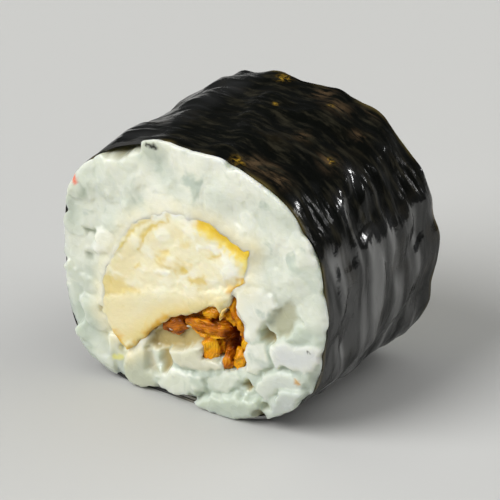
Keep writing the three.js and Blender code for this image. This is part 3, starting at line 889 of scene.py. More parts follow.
# The fried onion
onionLook = {
    "voxel": 0.11,
    "triangles": 90000,
    "pathSteps": 26,
    "coreSetback": 0.55,  # how far the bundle's core lies behind its cut
    "shredSetback": 0.25,  # how far the middle of a shred lies behind it, before it stands out
    "twist": 0.25,
    "crinkle": 0.14,
    "fibre": 0.28,  # millimetres from one fibre of a shred to the next
    "paintedMeetingShade": 0.22,  # how much darker the line is where two shreds meet, painted shade
    "paintedGapShade": 0.42,  # how much darker the gap between the shreds is, painted shade
    "tones": {  # colours from dark to pale
        0.0: tint(96, 32, 2), 0.35: tint(190, 106, 8), 0.6: tint(222, 150, 10), 0.85: tint(228, 174, 24),
        1.0: tint(240, 206, 128),
    },
    "shreds": [  # path in the cut, width, thickness, tone, and how far it stands out
        ([(-4.0, -5.9), (-2.4, -5.8), (-1.0, -5.2)], 2.0, 1.0, 0.22, 0.1),
        ([(-3.0, -6.4), (-2.2, -6.8), (-1.3, -6.2)], 0.6, 0.5, 0.42, 0.05),
        ([(-0.9, -4.7), (1.0, -4.7), (3.0, -4.7), (4.6, -4.5)], 1.7, 0.9, 0.45, 0.35),
        ([(-0.8, -5.0), (0.7, -5.6), (2.2, -5.8), (4.3, -5.4)], 0.4, 0.45, 0.7, 0.4),
        ([(-0.2, -4.3), (1.6, -4.0), (3.6, -4.0)], 0.35, 0.4, 0.5, 0.6),
        ([(1.3, -3.4), (2.3, -2.9), (3.1, -3.2)], 1.5, 0.9, 0.5, 0.25),
        ([(4.7, 0.2), (5.1, -0.8), (5.1, -1.8), (5.6, -2.8), (6.1, -3.7), (6.1, -4.6)],
         0.85, 0.9, 0.47, 0.25),
        ([(4.1, -2.4), (4.6, -3.1), (5.0, -3.8)], 1.1, 0.8, 0.62, 0.05),
        ([(3.5, -3.4), (4.0, -2.4), (4.6, -1.3)], 0.3, 0.8, 1.0, 0.7),
        ([(2.3, -5.8), (2.2, -7.1), (1.8, -8.7)], 2.3, 0.8, 0.64, 0.25),
        ([(4.2, -6.9), (4.3, -8.1), (4.0, -9.3)], 1.2, 0.8, 0.48, 0.2),
        ([(5.5, -6.2), (5.8, -7.3), (5.5, -8.5)], 1.5, 0.8, 0.66, 0.25),
        ([(5.1, -6.6), (5.3, -7.3), (6.2, -7.4)], 0.35, 0.4, 0.85, 0.45),
        ([(7.5, -4.6), (6.6, -5.1), (6.2, -6.0)], 0.9, 0.7, 0.8, 0.3),
    ],
    "outline": [  # the whole bundle in the section, clockwise from its left end
        (-3.6, -5.6), (-2.5, -4.6), (-0.7, -4.1), (1.1, -2.9), (2.1, -2.1), (3.4, -1.8), (4.4, -0.2),
        (5.4, 0.5), (5.8, -0.4), (5.6, -1.6), (6.5, -2.8), (6.7, -4.6), (7.3, -4.6), (6.8, -5.4),
        (6.7, -7.9), (5.4, -8.6), (4.2, -8.9), (3.8, -7.9), (3.4, -7.8), (1.2, -8.4), (2.1, -5.6),
        (-0.6, -5.3), (-1.7, -6.4), (-3.0, -6.2),
    ],
    "hollow": ([(4.6, -4.8), (4.8, -5.7), (4.7, -6.8)], 1.2, 0.5),  # path, depth and width of the gap, which is also painted with shade
}


def makeShredTree():  # a flat shred along a path, twisted and crinkled
    inputs = {"Geometry": "Geometry", "Width": "Float", "Thickness": "Float", "Twist": "Float",
              "Crinkle": "Float", "Seed": "Float", "Steps": "Int", "Material": "Material"}
    tree, given, made = newTree("onionShred", "GeometryNodeTree", inputs, {"Geometry": "Geometry"})
    curve = addNode(tree, "GeometryNodeMeshToCurve", {"Mesh": given["Geometry"]})
    smooth = addNode(tree, "GeometryNodeCurveSplineType", {"Curve": curve.outputs[0]},
                     spline_type="CATMULL_ROM")
    even = addNode(tree, "GeometryNodeResampleCurve", {"Curve": smooth.outputs[0], "Count": given["Steps"]})
    share = addNode(tree, "GeometryNodeSplineParameter").outputs["Factor"]
    turned = addNode(tree, "GeometryNodeSetCurveTilt",
                     {"Curve": even.outputs[0], "Tilt": calc(tree, "MULTIPLY", share, given["Twist"])})
    ring = addNode(tree, "GeometryNodeCurvePrimitiveCircle", {"Resolution": 14, "Radius": 0.5})
    section = {"X": given["Thickness"], "Y": given["Width"], "Z": 1.0}
    flat = addNode(tree, "ShaderNodeCombineXYZ", section).outputs[0]
    profile = addNode(tree, "GeometryNodeTransform", {"Geometry": ring.outputs["Curve"], "Scale": flat})
    inner = calc(tree, "ADD", calc(tree, "MULTIPLY", share, 0.86), 0.07)  # keeps the ends blunt
    taper = calc(tree, "POWER", calc(tree, "SINE", calc(tree, "MULTIPLY", inner, math.pi)), 0.35)
    swept = addNode(tree, "GeometryNodeCurveToMesh", {
        "Curve": turned.outputs[0], "Profile Curve": profile.outputs[0], "Scale": taper, "Fill Caps": True})
    place = addNode(tree, "GeometryNodeInputPosition").outputs[0]
    start = addNode(tree, "ShaderNodeCombineXYZ", {"X": given["Seed"], "Y": given["Seed"]}).outputs[0]
    field = addNode(tree, "ShaderNodeTexNoise", {
        "Vector": vectorCalc(tree, "ADD", place, start), "Scale": 0.75, "Detail": 3.0,
        "Roughness": 0.6}).outputs["Color"]
    centred = vectorCalc(tree, "SUBTRACT", field, (0.5, 0.5, 0.5))
    offset = scaled(tree, centred, calc(tree, "MULTIPLY", given["Crinkle"], 4.0))
    moved = addNode(tree, "GeometryNodeSetPosition", {"Geometry": swept.outputs[0], "Offset": offset})
    return endTree(tree, given, made, moved.outputs[0])


def makeOnionMaterial():
    material, tree, shader, place = newMaterial("friedOnion")
    tone = attribute(tree, "shredTone")
    ramp = addNode(tree, "ShaderNodeValToRGB", {"Fac": tone})
    stops, tones = ramp.color_ramp.elements, onionLook["tones"]
    stops[0].color, stops[-1].color = tones[0.0], tones[1.0]
    for share in sorted(tones)[1:-1]:
        stops.new(share).color = tones[share]
    colour = useMottle(tree, place, ramp.outputs["Color"], tones[0.0],
                       patchSize=0.0014, patchShare=0.12, fleckSize=0.0005, fleckStrength=0.3)
    setSockets(tree, shader, {
        "Base Color": colour, "Subsurface Weight": 0.15, "Subsurface Radius": (1.0, 0.45, 0.12),
        "Subsurface Scale": 0.0008, "Specular IOR Level": 0.22})
    moisture = useMoisture(tree, shader, place, wet=0.12, dry=0.34, patchSize=0.002, grainSize=0.0003,
                           depth=0.00008)
    swirl = calc(tree, "MULTIPLY", noise(tree, place, scale=900), 12.0)
    across = calc(tree, "MULTIPLY", attribute(tree, "shredAcross"), fullTurn / onionLook["fibre"])
    fibres = calc(tree, "SINE", calc(tree, "ADD", across, swirl))
    ridges = addNode(tree, "ShaderNodeBump", {"Height": fibres, "Distance": 0.00002})
    tree.links.new(ridges.outputs["Normal"], moisture.inputs["Normal"])
    return material


def joinArrays(parts):
    points, faces, count = [], [], 0
    for partPoints, partFaces in parts:
        points += [tuple(p) for p in partPoints]
        faces += [tuple(int(v) + count for v in face) for face in partFaces]
        count = len(points)
    return points, faces


def meshArrays(mesh):
    return pointsOf(mesh), [tuple(face.vertices) for face in mesh.polygons]


def makeOnion():
    material = makeOnionMaterial()
    tree = makeShredTree()
    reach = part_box("fried_onion")[1].y * 1000
    parts = [prism(onionLook["outline"], reach - onionLook["coreSetback"])]
    marks = []
    for side in (-1, 1):
        for number, (path, width, thickness, tone, rise) in enumerate(onionLook["shreds"]):
            line = [(x, side * (reach - onionLook["shredSetback"] + rise), z) for x, z in path]
            piece = newPiece("shred", line, edges=[(k, k + 1) for k in range(len(line) - 1)])
            useTree(piece, tree, {
                "Width": width, "Thickness": thickness,
                "Twist": -onionLook["twist"] * math.sin(3.0 * number + side),
                "Crinkle": onionLook["crinkle"], "Seed": 13.0 * number + 5.0 * side,
                "Steps": onionLook["pathSteps"], "Material": material})
            shred = plainMesh(piece)
            parts.append(meshArrays(shred))
            marks.append((pointsOf(shred), path, tone))
            bpy.data.objects.remove(piece)
    piece = newPiece("friedOnionShreds", *joinArrays(parts))
    mesh = evened(piece, onionLook["voxel"])
    points = pointsOf(mesh)
    path, depth, width = onionLook["hollow"]
    hollow = nearPath(points[:, [0, 2]], path, width)
    ends = smoothStep(reach - 3.0, reach - 0.6, np.abs(points[:, 1]))
    crinkle = [0.1 * ripple(points, 1.2, 31 + k) + 0.06 * ripple(points, 0.55, 41 + k, 16) for k in range(3)]
    points += np.stack(crinkle, 1)
    points[:, 1] -= np.sign(points[:, 1]) * ends * depth * hollow
    setPoints(mesh, points)
    evened(piece, onionLook["voxel"])
    room = cutAway(piece, fishRoom).copy()
    markOnion(thinned(piece, onionLook["triangles"], material), marks)
    return piece, room


def markOnion(mesh, shreds):  # each shred's tone, with painted shade where two meet and in the gap, and its fibres
    points = pointsOf(mesh)
    flat = points[:, [0, 2]]
    first, second = np.full(len(points), 9.0), np.full(len(points), 9.0)
    tones, across = np.full(len(points), 0.4), np.zeros(len(points))
    for shredPoints, path, tone in shreds:
        far = nearestDistance(points, shredPoints)
        nearer = far < first
        second = np.where(nearer, first, np.minimum(second, far))
        first[nearer] = far[nearer]
        tones[nearer] = tone
        away, side = polylineDistance(flat[nearer], path)
        across[nearer] = away * side
    tones = np.where(first < 0.5, tones, 0.38) + 0.12 * ripple(points, 1.2, 33)
    # painted shade where two shreds meet and in the gap
    tones -= onionLook["paintedMeetingShade"] * bell(second - first, 0.12)
    tones -= onionLook["paintedGapShade"] * nearPath(flat, onionLook["hollow"][0], 0.6)
    storeValues(mesh, "shredTone", np.clip(tones, 0, 1))
    storeValues(mesh, "shredAcross", across)


def nearestDistance(points, targets):
    tree = BVHTree.FromPolygons(targets.tolist(), [(k, k, k) for k in range(len(targets))])
    found = [tree.find_nearest(Vector(p))[3] for p in points]
    return np.array([1e9 if far is None else far for far in found])


onionPiece, onionRoom = makeOnion()
print("onion ready")


# The rice
riceLook = {
    "seeds": {-1: 11, 1: 29},  # of the shown cut and of the far one
    "grainLength": 5.3,
    "grainWidth": 2.75,
    "rimGrains": 19,
    "fieldGrains": 44,
    "underGrains": 70,
    "packRounds": 90,
    "voxel": 0.17,
    "fineVoxel": 0.15,
    "triangles": 190000,
    "fillet": 6,  # rounds of smoothing that close the seams between grains
    "grainDepth": 1.0,  # from the cut to the middle of a grain that shows
    "seamDepth": 0.18,
    "chipStep": 0.07,
    "crumbs": 60,
    "crumbSizes": (0.16, 0.3),
    "dropSize": 0.36,
    "shownDepth": 4.0,  # from the cut to the back of what is shaped after it
    "besideFish": 0.03,  # how much lower than the fish the rice beside it lies
    "fishRoom": (1.12, 0.975),  # the room cut for the fish, along the roll and across it, against the fish
    "onionRoom": (1.3, 1.0),
    "white": tint(240, 240, 225),
    "clear": tint(195, 204, 189),
    "seam": tint(208, 213, 190),
    "marks": {  # colours that lie over the rice, the last on top
        # cream beside the fish, partly painted light over the dark line at the joint
        "fishStainAndLight": tint(239, 233, 201),
        "cool": tint(200, 202, 206),
        # grey: of dull clear grains, and painted shade in the gaps and the recess under the nori
        "greyAndShade": tint(160, 170, 150),
        # stain: partly staining, partly painted shade in pits, gaps and the recess under the nori
        "stainAndShade": tint(188, 168, 108),
        "noriBit": tint(40, 40, 30),
        "brownBit": tint(196, 160, 110),
        "redBit": tint(226, 120, 96),
        "yellowBit": tint(228, 226, 150),
    },
    "facets": [  # cut grains of the shown side: corners, how far out, lean, how clear, how cool
        ([(5.8, 0.8), (7.1, 1.7), (8.7, 1.7), (10.1, 1.4), (10.9, 0.5), (10.0, -0.7), (9.8, -1.7),
          (8.6, -2.9), (8.3, -4.1), (6.7, -4.5), (6.7, -2.7), (5.7, -1.3), (6.0, -0.1)],
         0.2, (0.0, 0.0), 0.2, 0.1),
        ([(7.0, -4.9), (8.0, -4.3), (9.2, -4.2), (9.8, -6.0), (8.9, -7.4), (8.0, -8.1), (6.9, -8.0)],
         0.15, (0.02, -0.02), 0.35, 0.15),
        ([(9.6, -4.4), (10.6, -3.6), (11.9, -3.2), (14.0, -2.9), (15.9, -2.7), (15.8, -4.2),
          (14.9, -5.7), (11.9, -6.4), (10.4, -6.9)], 0.3, (-0.03, -0.02), 0.35, 0.6),
        ([(9.1, -7.9), (10.4, -6.9), (13.0, -6.5), (14.6, -6.9), (13.6, -8.3), (10.9, -8.9),
          (9.8, -10.9), (8.6, -10.5), (8.0, -9.6)], 0.25, (-0.04, 0.04), 0.7, 0.3),
        ([(9.8, -11.0), (11.1, -8.9), (12.6, -8.3), (14.3, -8.2), (12.8, -11.0), (9.2, -13.3),
          (9.0, -12.3)], 0.3, (-0.04, 0.24), 1.0, 0.5),
        ([(0.1, -13.6), (2.6, -12.2), (6.2, -11.1), (8.0, -10.6), (8.9, -11.4), (8.0, -13.3),
          (5.5, -14.3), (1.6, -14.8)], 0.4, (0.0, 0.2), 1.0, 0.0),
        ([(2.1, -10.1), (4.5, -8.8), (6.2, -8.8), (6.1, -10.2), (4.5, -11.3), (2.3, -12.0)],
         0.1, (0.02, 0.0), 0.65, 0.0),
        ([(-5.0, -11.8), (-2.2, -10.2), (1.6, -10.3), (2.1, -11.4), (0.6, -12.8), (-1.8, -13.6),
          (-3.8, -13.4)], 0.25, (0.0, 0.04), 0.5, 0.0),
        ([(-2.8, -8.3), (-1.8, -7.9), (-0.1, -7.4), (1.5, -6.7), (1.4, -8.2), (3.1, -7.9),
          (3.9, -8.3), (4.2, -8.9), (1.5, -9.5), (-1.0, -10.1), (-2.2, -10.0), (-2.4, -9.2)],
         0.15, (0.0, 0.0), 0.5, 0.0),
        ([(-8.2, -10.7), (-5.9, -9.2), (-4.9, -9.4), (-5.0, -11.6), (-3.6, -12.0), (-4.2, -13.6),
          (-6.3, -14.5), (-7.7, -14.0), (-8.5, -12.9)], 0.15, (0.0, 0.08), 1.0, 0.0),
        ([(-11.5, 3.2), (-9.8, 3.4), (-8.9, 2.2), (-9.9, 0.5), (-11.9, 0.2)],
         0.08, (0.0, 0.0), 0.15, 0.0),
    ],
    "hollows": [  # gaps and dull places there, the gaps painted with shade: corners, depth (-1 for none), slope's width, stain, grey
        ([(11.1, 0.6), (11.9, 1.2), (12.6, 1.0), (12.6, -0.6), (12.5, -1.8), (11.9, -2.6),
          (10.6, -3.3), (9.8, -1.8), (10.0, -0.8)], 0.45, 0.7, 0.3, 0.5),
        ([(8.9, -2.9), (9.6, -2.4), (10.1, -3.0), (10.0, -3.7), (9.4, -4.5), (9.1, -3.7)],
         1.6, 0.6, 1.0, 0.0),
        ([(6.5, -9.5), (7.0, -9.0), (7.5, -9.6), (7.0, -10.2), (6.3, -10.1)], 1.5, 0.7, 1.0, 0.0),
        ([(9.1, -7.3), (10.0, -6.1), (9.9, -7.1), (9.1, -7.8)], 0.5, 0.7, 0.2, 0.1),
        ([(-5.2, -7.5), (-3.6, -6.4), (-2.4, -6.5), (-1.1, -5.6), (0.2, -5.3), (1.6, -5.5),
          (1.4, -6.9), (0.4, -7.5), (-1.1, -7.9), (-2.5, -8.4), (-3.4, -8.9), (-4.6, -9.0),
          (-5.3, -8.6)], 1.1, 0.7, 0.95, 0.1),
        ([(-5.3, -9.0), (-4.9, -9.5), (-4.3, -10.4), (-3.9, -11.2), (-4.8, -11.6), (-5.4, -11.6)],
         0.25, 0.7, 0.4, 0.0),
        ([(-4.2, -8.9), (-3.4, -8.8), (-2.9, -9.6), (-2.6, -10.5), (-2.9, -11.2), (-3.4, -11.0),
          (-3.8, -10.2)], 0.9, 0.7, 0.9, 0.3),
        ([(8.8, -11.1), (9.4, -11.0), (9.5, -11.5), (9.0, -11.8)], 1.1, 0.7, 0.3, 0.1),
        ([(7.9, -12.9), (8.6, -12.2), (8.9, -12.8), (8.6, -13.6), (8.1, -13.6)], 1.5, 0.7, 0.8, 0.5),
        ([(-13.4, 2.3), (-11.6, 2.6), (-11.7, 2.0), (-13.0, 1.8)], 0.6, 0.7, 0.1, 1.0),
        ([(-13.3, -0.3), (-12.2, -0.1), (-12.3, -0.9), (-13.0, -0.9)], 0.5, 0.7, 0.1, 0.9),
        ([(-11.2, -6.1), (-10.3, -6.3), (-10.6, -6.9), (-11.2, -6.7)], 0.4, 0.7, 0.5, 0.1),
        ([(-11.4, 11.9), (-9.1, 13.0), (-6.2, 14.4), (-6.2, 12.7), (-8.2, 11.9), (-10.4, 11.3)],
         3.4, 0.9, 0.5, 1.0),
        ([(-13.5, 7.4), (-12.2, 7.6), (-12.5, 6.0), (-13.7, 5.4)], 0.05, 1.8, 0.0, 1.0),
        ([(-15.6, 7.5), (-14.2, 8.0), (-13.8, 3.0), (-14.2, -1.0), (-16.0, -1.0)],
         -1.0, 2.4, 0.0, 0.35),
        ([(-6.4, 13.1), (-5.7, 14.4), (-4.5, 14.9), (-2.9, 15.0), (-1.4, 14.5), (-2.6, 13.0),
          (-5.7, 12.4)], -1.0, 2.0, 0.0, 0.4),
        ([(-2.8, -8.3), (1.5, -6.7), (3.9, -8.3), (4.2, -8.9), (-1.0, -10.1), (-2.4, -9.2)],
         -1.0, 0.7, 0.25, 0.0),
        ([(-8.2, -10.7), (-5.9, -9.2), (-4.9, -9.4), (-4.2, -13.6), (-6.3, -14.5), (-8.5, -12.9)],
         -1.0, 0.7, 0.2, 0.0),
    ],
    "drops": [  # wet specks that shine
        (-9.9, 7.1), (-7.7, 6.5), (-2.4, 10.3), (-6.3, 13.0), (8.2, -5.8), (8.9, 1.6),
    ],
    "flecks": [  # bits that stick to the rice: two ends, size and colour
        ((-5.1, 13.9), (-4.0, 13.9), 0.27, "noriBit"), ((14.4, -3.3), (14.7, -3.6), 0.07, "noriBit"),
        ((13.0, -7.2), (13.4, -7.4), 0.2, "brownBit"), ((-14.4, 8.2), (-14.1, 7.7), 0.34, "redBit"),
        ((-9.6, -11.5), (-8.9, -11.3), 0.4, "yellowBit"),
    ],
    "rimWaves": [  # the shown rim: degrees round it, spread in degrees and how far it stands out
        (106, 8, 0.45), (125, 8, -0.55), (166, 1.7, -0.5), (187, 1.7, -0.5), (192, 1.7, -0.4),
        (228, 1.7, -0.5), (71, 2.2, -0.6), (34, 1.6, -0.3), (26, 1.6, -0.35), (11, 1.6, -0.3),
        (-14, 1.6, -0.35),
    ],
    "shownGrains": [  # grains that stand out there: two ends, width and how far they stand out
        ((-5.8, 13.3), (-1.4, 13.5), 2.4, 0.2), ((-1.4, 12.6), (3.6, 12.8), 2.8, 0.3),
        ((2.8, 12.2), (6.6, 11.2), 2.6, 0.2), ((6.4, -0.4), (10.4, 0.2), 4.0, 0.5),
        ((8.1, -3.4), (8.6, -6.8), 2.6, 0.4), ((9.4, -5.0), (14.6, -3.6), 2.9, 0.4),
        ((9.4, -8.3), (14.4, -7.0), 3.0, 0.5), ((8.6, -12.0), (13.2, -9.4), 3.2, 0.5),
        ((0.2, -13.0), (7.8, -11.6), 2.9, 0.5), ((-6.6, -12.6), (-0.6, -11.4), 3.0, 0.3),
        ((-2.3, -9.0), (2.0, -8.6), 3.2, 0.3), ((-8.4, -11.2), (-5.6, -12.9), 2.6, 0.3),
        ((-13.4, -9.0), (-10.2, -11.2), 2.8, 0.2), ((-14.2, 0.5), (-11.6, 1.0), 2.2, 0.5),
    ],
}
fillingTrees = [cadTree(node) for node in ("mackerel", "fried_onion")]


def pushFrom(tree, point):  # how deep a point of the section lies in a filling, and the way out
    spot = Vector((point[0], 0, point[1]))
    found, normal, _, far = tree.find_nearest(spot)
    away = spot - found
    if away.dot(normal) < 0:
        return -far, np.array([normal.x, normal.z])
    return far, np.array([away.x, away.z]) / max(far, 1e-6)


def packGrains(side):
    random = np.random.default_rng(riceLook["seeds"][side])
    length, width = riceLook["grainLength"], riceLook["grainWidth"]
    rows = []  # place, turn, length, width, rise and whether it stays where it is
    for start, end, wide, rise in riceLook["shownGrains"] if side < 0 else []:
        along = np.subtract(end, start)
        turn = math.atan2(along[1], along[0])
        rows.append((np.add(start, end) / 2, turn, np.hypot(*along) + 0.6, wide, rise, True))
    for k in range(riceLook["rimGrains"]):
        angle = fullTurn * (k + 0.35 * random.uniform(-1, 1)) / riceLook["rimGrains"]
        place = (rimReach(angle) - 1.2) * np.array([math.cos(angle), math.sin(angle)])
        turn = angle + math.pi / 2 + random.normal() * 0.3
        rows.append((place, turn, length * random.uniform(0.85, 1.1), width * random.uniform(0.85, 1.1),
                     random.uniform(-0.25, 0.45), False))
    wanted = len(rows) + riceLook["fieldGrains"]
    while len(rows) < wanted:
        spot = random.uniform(-15, 15, 2)
        if inRice(spot, 2.2, 0.6):
            rows.append((spot, random.uniform(0, math.pi), length * random.uniform(0.8, 1.1),
                         width * random.uniform(0.85, 1.15), random.uniform(-0.35, 0.35), False))
    names = ("place", "turn", "length", "width", "rise", "fixed")
    grains = {name: np.array(column) for name, column in zip(names, zip(*rows))}
    relaxGrains(grains)
    return grains


def rimReach(angle):
    return float(innerRadius(np.array([angle]), np.array([0.0]))[0])


def inRice(spot, rimGap, fillingGap):  # whether a spot of the section lies well inside the rice
    clear = rimReach(math.atan2(spot[1], spot[0])) - np.hypot(*spot)
    return clear > rimGap and min(pushFrom(tree, spot)[0] for tree in fillingTrees) > fillingGap


def relaxGrains(grains):  # grains press on each other, the nori and the filling until they lie side by side
    place, turn = grains["place"], grains["turn"]
    count = len(place)
    spans = np.stack([-0.31 * grains["length"], 0 * grains["length"], 0.31 * grains["length"]], 1)
    radius = np.repeat(grains["width"] * 0.46, 3)
    owner = np.repeat(np.arange(count), 3)
    apart = owner[:, None] != owner[None, :]
    for _ in range(riceLook["packRounds"]):
        along = np.stack([np.cos(turn), np.sin(turn)], 1)
        discs = (place[:, None, :] + spans[:, :, None] * along[:, None, :]).reshape(-1, 2)
        gaps = discs[:, None, :] - discs[None, :, :]
        far = np.hypot(gaps[..., 0], gaps[..., 1]) + 1e-6
        overlap = np.where(apart, np.clip(0.95 * (radius[:, None] + radius[None, :]) - far, 0, None), 0)
        push = (overlap / far)[..., None] * gaps
        force = 0.25 * push.sum(1)
        angle = np.arctan2(discs[:, 1], discs[:, 0])
        beyond = np.hypot(discs[:, 0], discs[:, 1]) + radius * 0.8 - innerRadius(angle, np.zeros(len(angle)))
        force -= 0.5 * np.clip(beyond, 0, None)[:, None] * np.stack([np.cos(angle), np.sin(angle)], 1)
        for tree in fillingTrees:
            for k, disc in enumerate(discs):
                clear, outward = pushFrom(tree, disc)
                force[k] += 0.5 * max(0.0, 0.95 * radius[k] - clear) * outward
        force = force.reshape(count, 3, 2)
        free = ~grains["fixed"]
        place[free] += np.clip(force.mean(1), -0.5, 0.5)[free]
        across = np.stack([-along[:, 1], along[:, 0]], 1)
        torque = (spans * (force * across[:, None, :]).sum(2)).sum(1) / (grains["length"] ** 2 * 0.2)
        turn[free] += np.clip(torque, -0.2, 0.2)[free]


def grainTurns(turn, tilt):  # columns: along the grain, across it in the cut, and out of the cut
    along = np.stack([np.cos(turn) * np.cos(tilt), np.sin(tilt), np.sin(turn) * np.cos(tilt)], 1)
    across = np.stack([-np.sin(turn), 0 * turn, np.cos(turn)], 1)
    return np.stack([along, across, np.cross(along, across)], 2)


def layGrains(side):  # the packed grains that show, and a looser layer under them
    random = np.random.default_rng(riceLook["seeds"][side] + 100)
    grains = packGrains(side)
    count = len(grains["place"])
    depth = cutHalf - riceLook["grainDepth"] + 0.45 * grains["rise"]
    middles = np.stack([grains["place"][:, 0], side * depth, grains["place"][:, 1]], 1)
    turns = grainTurns(grains["turn"], random.normal(size=count) * 0.16)
    thick = grains["width"] * random.uniform(0.85, 1.05, count)
    sizes = np.stack([grains["length"], grains["width"], thick], 1) / 2
    under = []
    while len(under) < riceLook["underGrains"]:
        spot = random.uniform(-15, 15, 2)
        if inRice(spot, 1.4, 0.4):
            under.append((spot[0], side * (cutHalf - 2.3 + random.uniform(-0.3, 0.3)), spot[1]))
    lower = len(under)
    middles = np.concatenate([middles, under])
    underTurns = grainTurns(random.uniform(0, math.pi, lower), random.normal(size=lower) * 0.35)
    turns = np.concatenate([turns, underTurns])
    plain = np.array([riceLook["grainLength"], riceLook["grainWidth"], riceLook["grainWidth"]]) / 2
    sizes = np.concatenate([sizes, plain * random.uniform(0.85, 1.1, (lower, 1))])
    loose = smoothStep(1.0, -6.0, middles[:count, 2])
    knife = cutHalf + (0.04 + 0.16 * loose) * random.normal(size=count) + 0.35 * grains["rise"] * loose
    slope = random.normal(size=(count, 2)) * (0.025 + 0.09 * loose)[:, None]
    tone, seam = random.uniform(0, 1, count), random.uniform(0, 1, count) ** 2
    return {"middle": middles, "turn": turns, "size": sizes, "knife": knife, "slope": slope, "tone": tone,
            "seam": seam}


def nearestGrain(flat, grains):  # which grain of the cut points belong to, and how far inside it they are
    first = np.full(len(flat), 1e9)
    second = np.full(len(flat), 1e9)
    owner = np.zeros(len(flat), int)
    bent = frayed(flat, 2.4, 81, 0.3)
    for k in range(len(grains["tone"])):
        offset = bent - grains["middle"][k][[0, 2]]
        far = np.linalg.norm(offset @ grains["turn"][k][[0, 2], :2] / grains["size"][k][:2], axis=1)
        beats = far < first
        second = np.where(beats, first, np.minimum(second, far))
        owner[beats] = k
        first = np.where(beats, far, first)
    return owner, np.clip((second - first) / 0.4, 0, 1)


def makeGrainShape():  # one grain of unit half sizes, blunt at the ends and a little bent
    rings, sides = 9, 10
    points, faces = [], []
    for i in range(rings):
        along = math.cos(math.pi * (i + 0.5) / rings)
        wide = (1 - abs(along) ** 2.6) ** 0.5
        for k in range(sides):
            angle = fullTurn * k / sides
            points.append((along, wide * math.cos(angle) + 0.12 * along * along, wide * math.sin(angle)))
    points += [(1.0, 0.12, 0), (-1.0, 0.12, 0)]
    for i in range(rings - 1):
        for k in range(sides):
            after = (k + 1) % sides
            faces.append((i * sides + k, (i + 1) * sides + k, (i + 1) * sides + after, i * sides + after))
    last = (rings - 1) * sides
    for k in range(sides):
        after = (k + 1) % sides
        faces += [(rings * sides, k, after), (rings * sides + 1, last + after, last + k)]
    return newPiece("grainShape", points, faces)


def coreSetback(x, z, share):  # how far the mass between the grains lies behind the cut
    loose = smoothStep(2.0, -6.0, z)
    inner = 0.4 + 0.6 * loose + 0.12 * ripple(np.stack([x, z], 1), 4.0, 41)
    return inner + (0.12 - inner) * smoothStep(0.84, 0.97, share)


def makeCoreShape():
    count, rings = 200, 30
    angles = np.linspace(0, fullTurn, count, endpoint=False)
    points, faces = [], []
    for side in (-1, 1):
        start = len(points)
        reach = innerRadius(angles, np.zeros(count)) + rimSwell(angles, side) + 0.05
        for ring in range(rings):
            share = 1 - ring / rings
            x, z = share * reach * np.cos(angles), share * reach * np.sin(angles)
            y = side * (cutHalf - coreSetback(x, z, share))
            points += list(zip(x, y, z))
        points.append((0, side * (cutHalf - 0.6), 0))
        for k in range(count):
            after = (k + 1) % count
            for ring in range(rings - 1):
                outer = start + ring * count
                quad = (outer + k, outer + after, outer + count + after, outer + count + k)
                faces.append(quad if side < 0 else quad[::-1])
            last = start + (rings - 1) * count
            cap = (last + k, last + after, start + rings * count)
            faces.append(cap if side < 0 else cap[::-1])
    back = rings * count + 1
    faces += [(k, k + back, (k + 1) % count + back, (k + 1) % count) for k in range(count)]
    return newPiece("coreShape", points, faces)


def makeRiceTree():  # grains stood on their points and joined with the core
    inputs = {"Geometry": "Geometry", "Grain": "Object", "Core": "Object", "Material": "Material"}
    tree, given, made = newTree("riceHeap", "GeometryNodeTree", inputs, {"Geometry": "Geometry"})
    spots = addNode(tree, "GeometryNodeMeshToPoints", {"Mesh": given["Geometry"]})
    grain = addNode(tree, "GeometryNodeObjectInfo", {"Object": given["Grain"]}).outputs["Geometry"]
    core = addNode(tree, "GeometryNodeObjectInfo", {"Object": given["Core"]}).outputs["Geometry"]
    stood = addNode(tree, "GeometryNodeInstanceOnPoints", {
        "Points": spots.outputs[0], "Instance": grain, "Rotation": carried(tree, "grainTurn", "QUATERNION"),
        "Scale": carried(tree, "grainSize", "FLOAT_VECTOR")})
    heap = addNode(tree, "GeometryNodeJoinGeometry")
    tree.links.new(stood.outputs[0], heap.inputs[0])
    tree.links.new(core, heap.inputs[0])
    return endTree(tree, given, made, heap.outputs[0])


def makeRiceMaterial():
    material, tree, shader, place = newMaterial("stickyRice")
    white = useMottle(tree, place, riceLook["white"], riceLook["clear"],
                      patchSize=0.003, patchShare=0.35, fleckSize=0.0006, fleckStrength=0.03)
    white = mixColour(tree, attribute(tree, "grainClearAndShade"), white, riceLook["clear"])
    colour = mixColour(tree, attribute(tree, "grainSeam"), white, riceLook["seam"])
    for mark, shown in riceLook["marks"].items():
        colour = mixColour(tree, attribute(tree, mark), colour, shown)
    setSockets(tree, shader, {
        "Base Color": colour, "Subsurface Weight": 0.8, "Subsurface Radius": (1.0, 0.95, 0.75),
        "Subsurface Scale": 0.0017, "IOR": 1.42})
    useMoisture(tree, shader, place, wet=0.14, dry=0.4, patchSize=0.003, grainSize=0.0005, depth=0.00006)
    return material


def clearance(flat):  # distance of points of the section from the filling
    farthest = 9.0  # nothing further off is looked for
    far = np.full(len(flat), farthest)
    for tree in fillingTrees:
        for k, (x, z) in enumerate(flat):
            found = tree.find_nearest(Vector((x, 0, z)), farthest)[3]
            far[k] = min(far[k], farthest if found is None else found)
    return far


def seamShare(flat, grains, owner, inside):  # seams between grains fade in and out along their length
    fading = smoothStep(-0.2, 0.9, ripple(flat, 4.5, 83)) * (1 - 0.4 * smoothStep(-7.0, 1.0, flat[:, 1]))
    return grains["seam"][owner] * fading * (1 - inside) ** 2


def shownPoints(points, side):  # the points of one cut and of what is seen in its gaps
    return np.flatnonzero(points[:, 1] * side > cutHalf - riceLook["shownDepth"])


def atCut(depth):  # 1 at the cut, 0 in the heap behind it
    return smoothStep(cutHalf - 2.6, cutHalf - 1.4, depth)


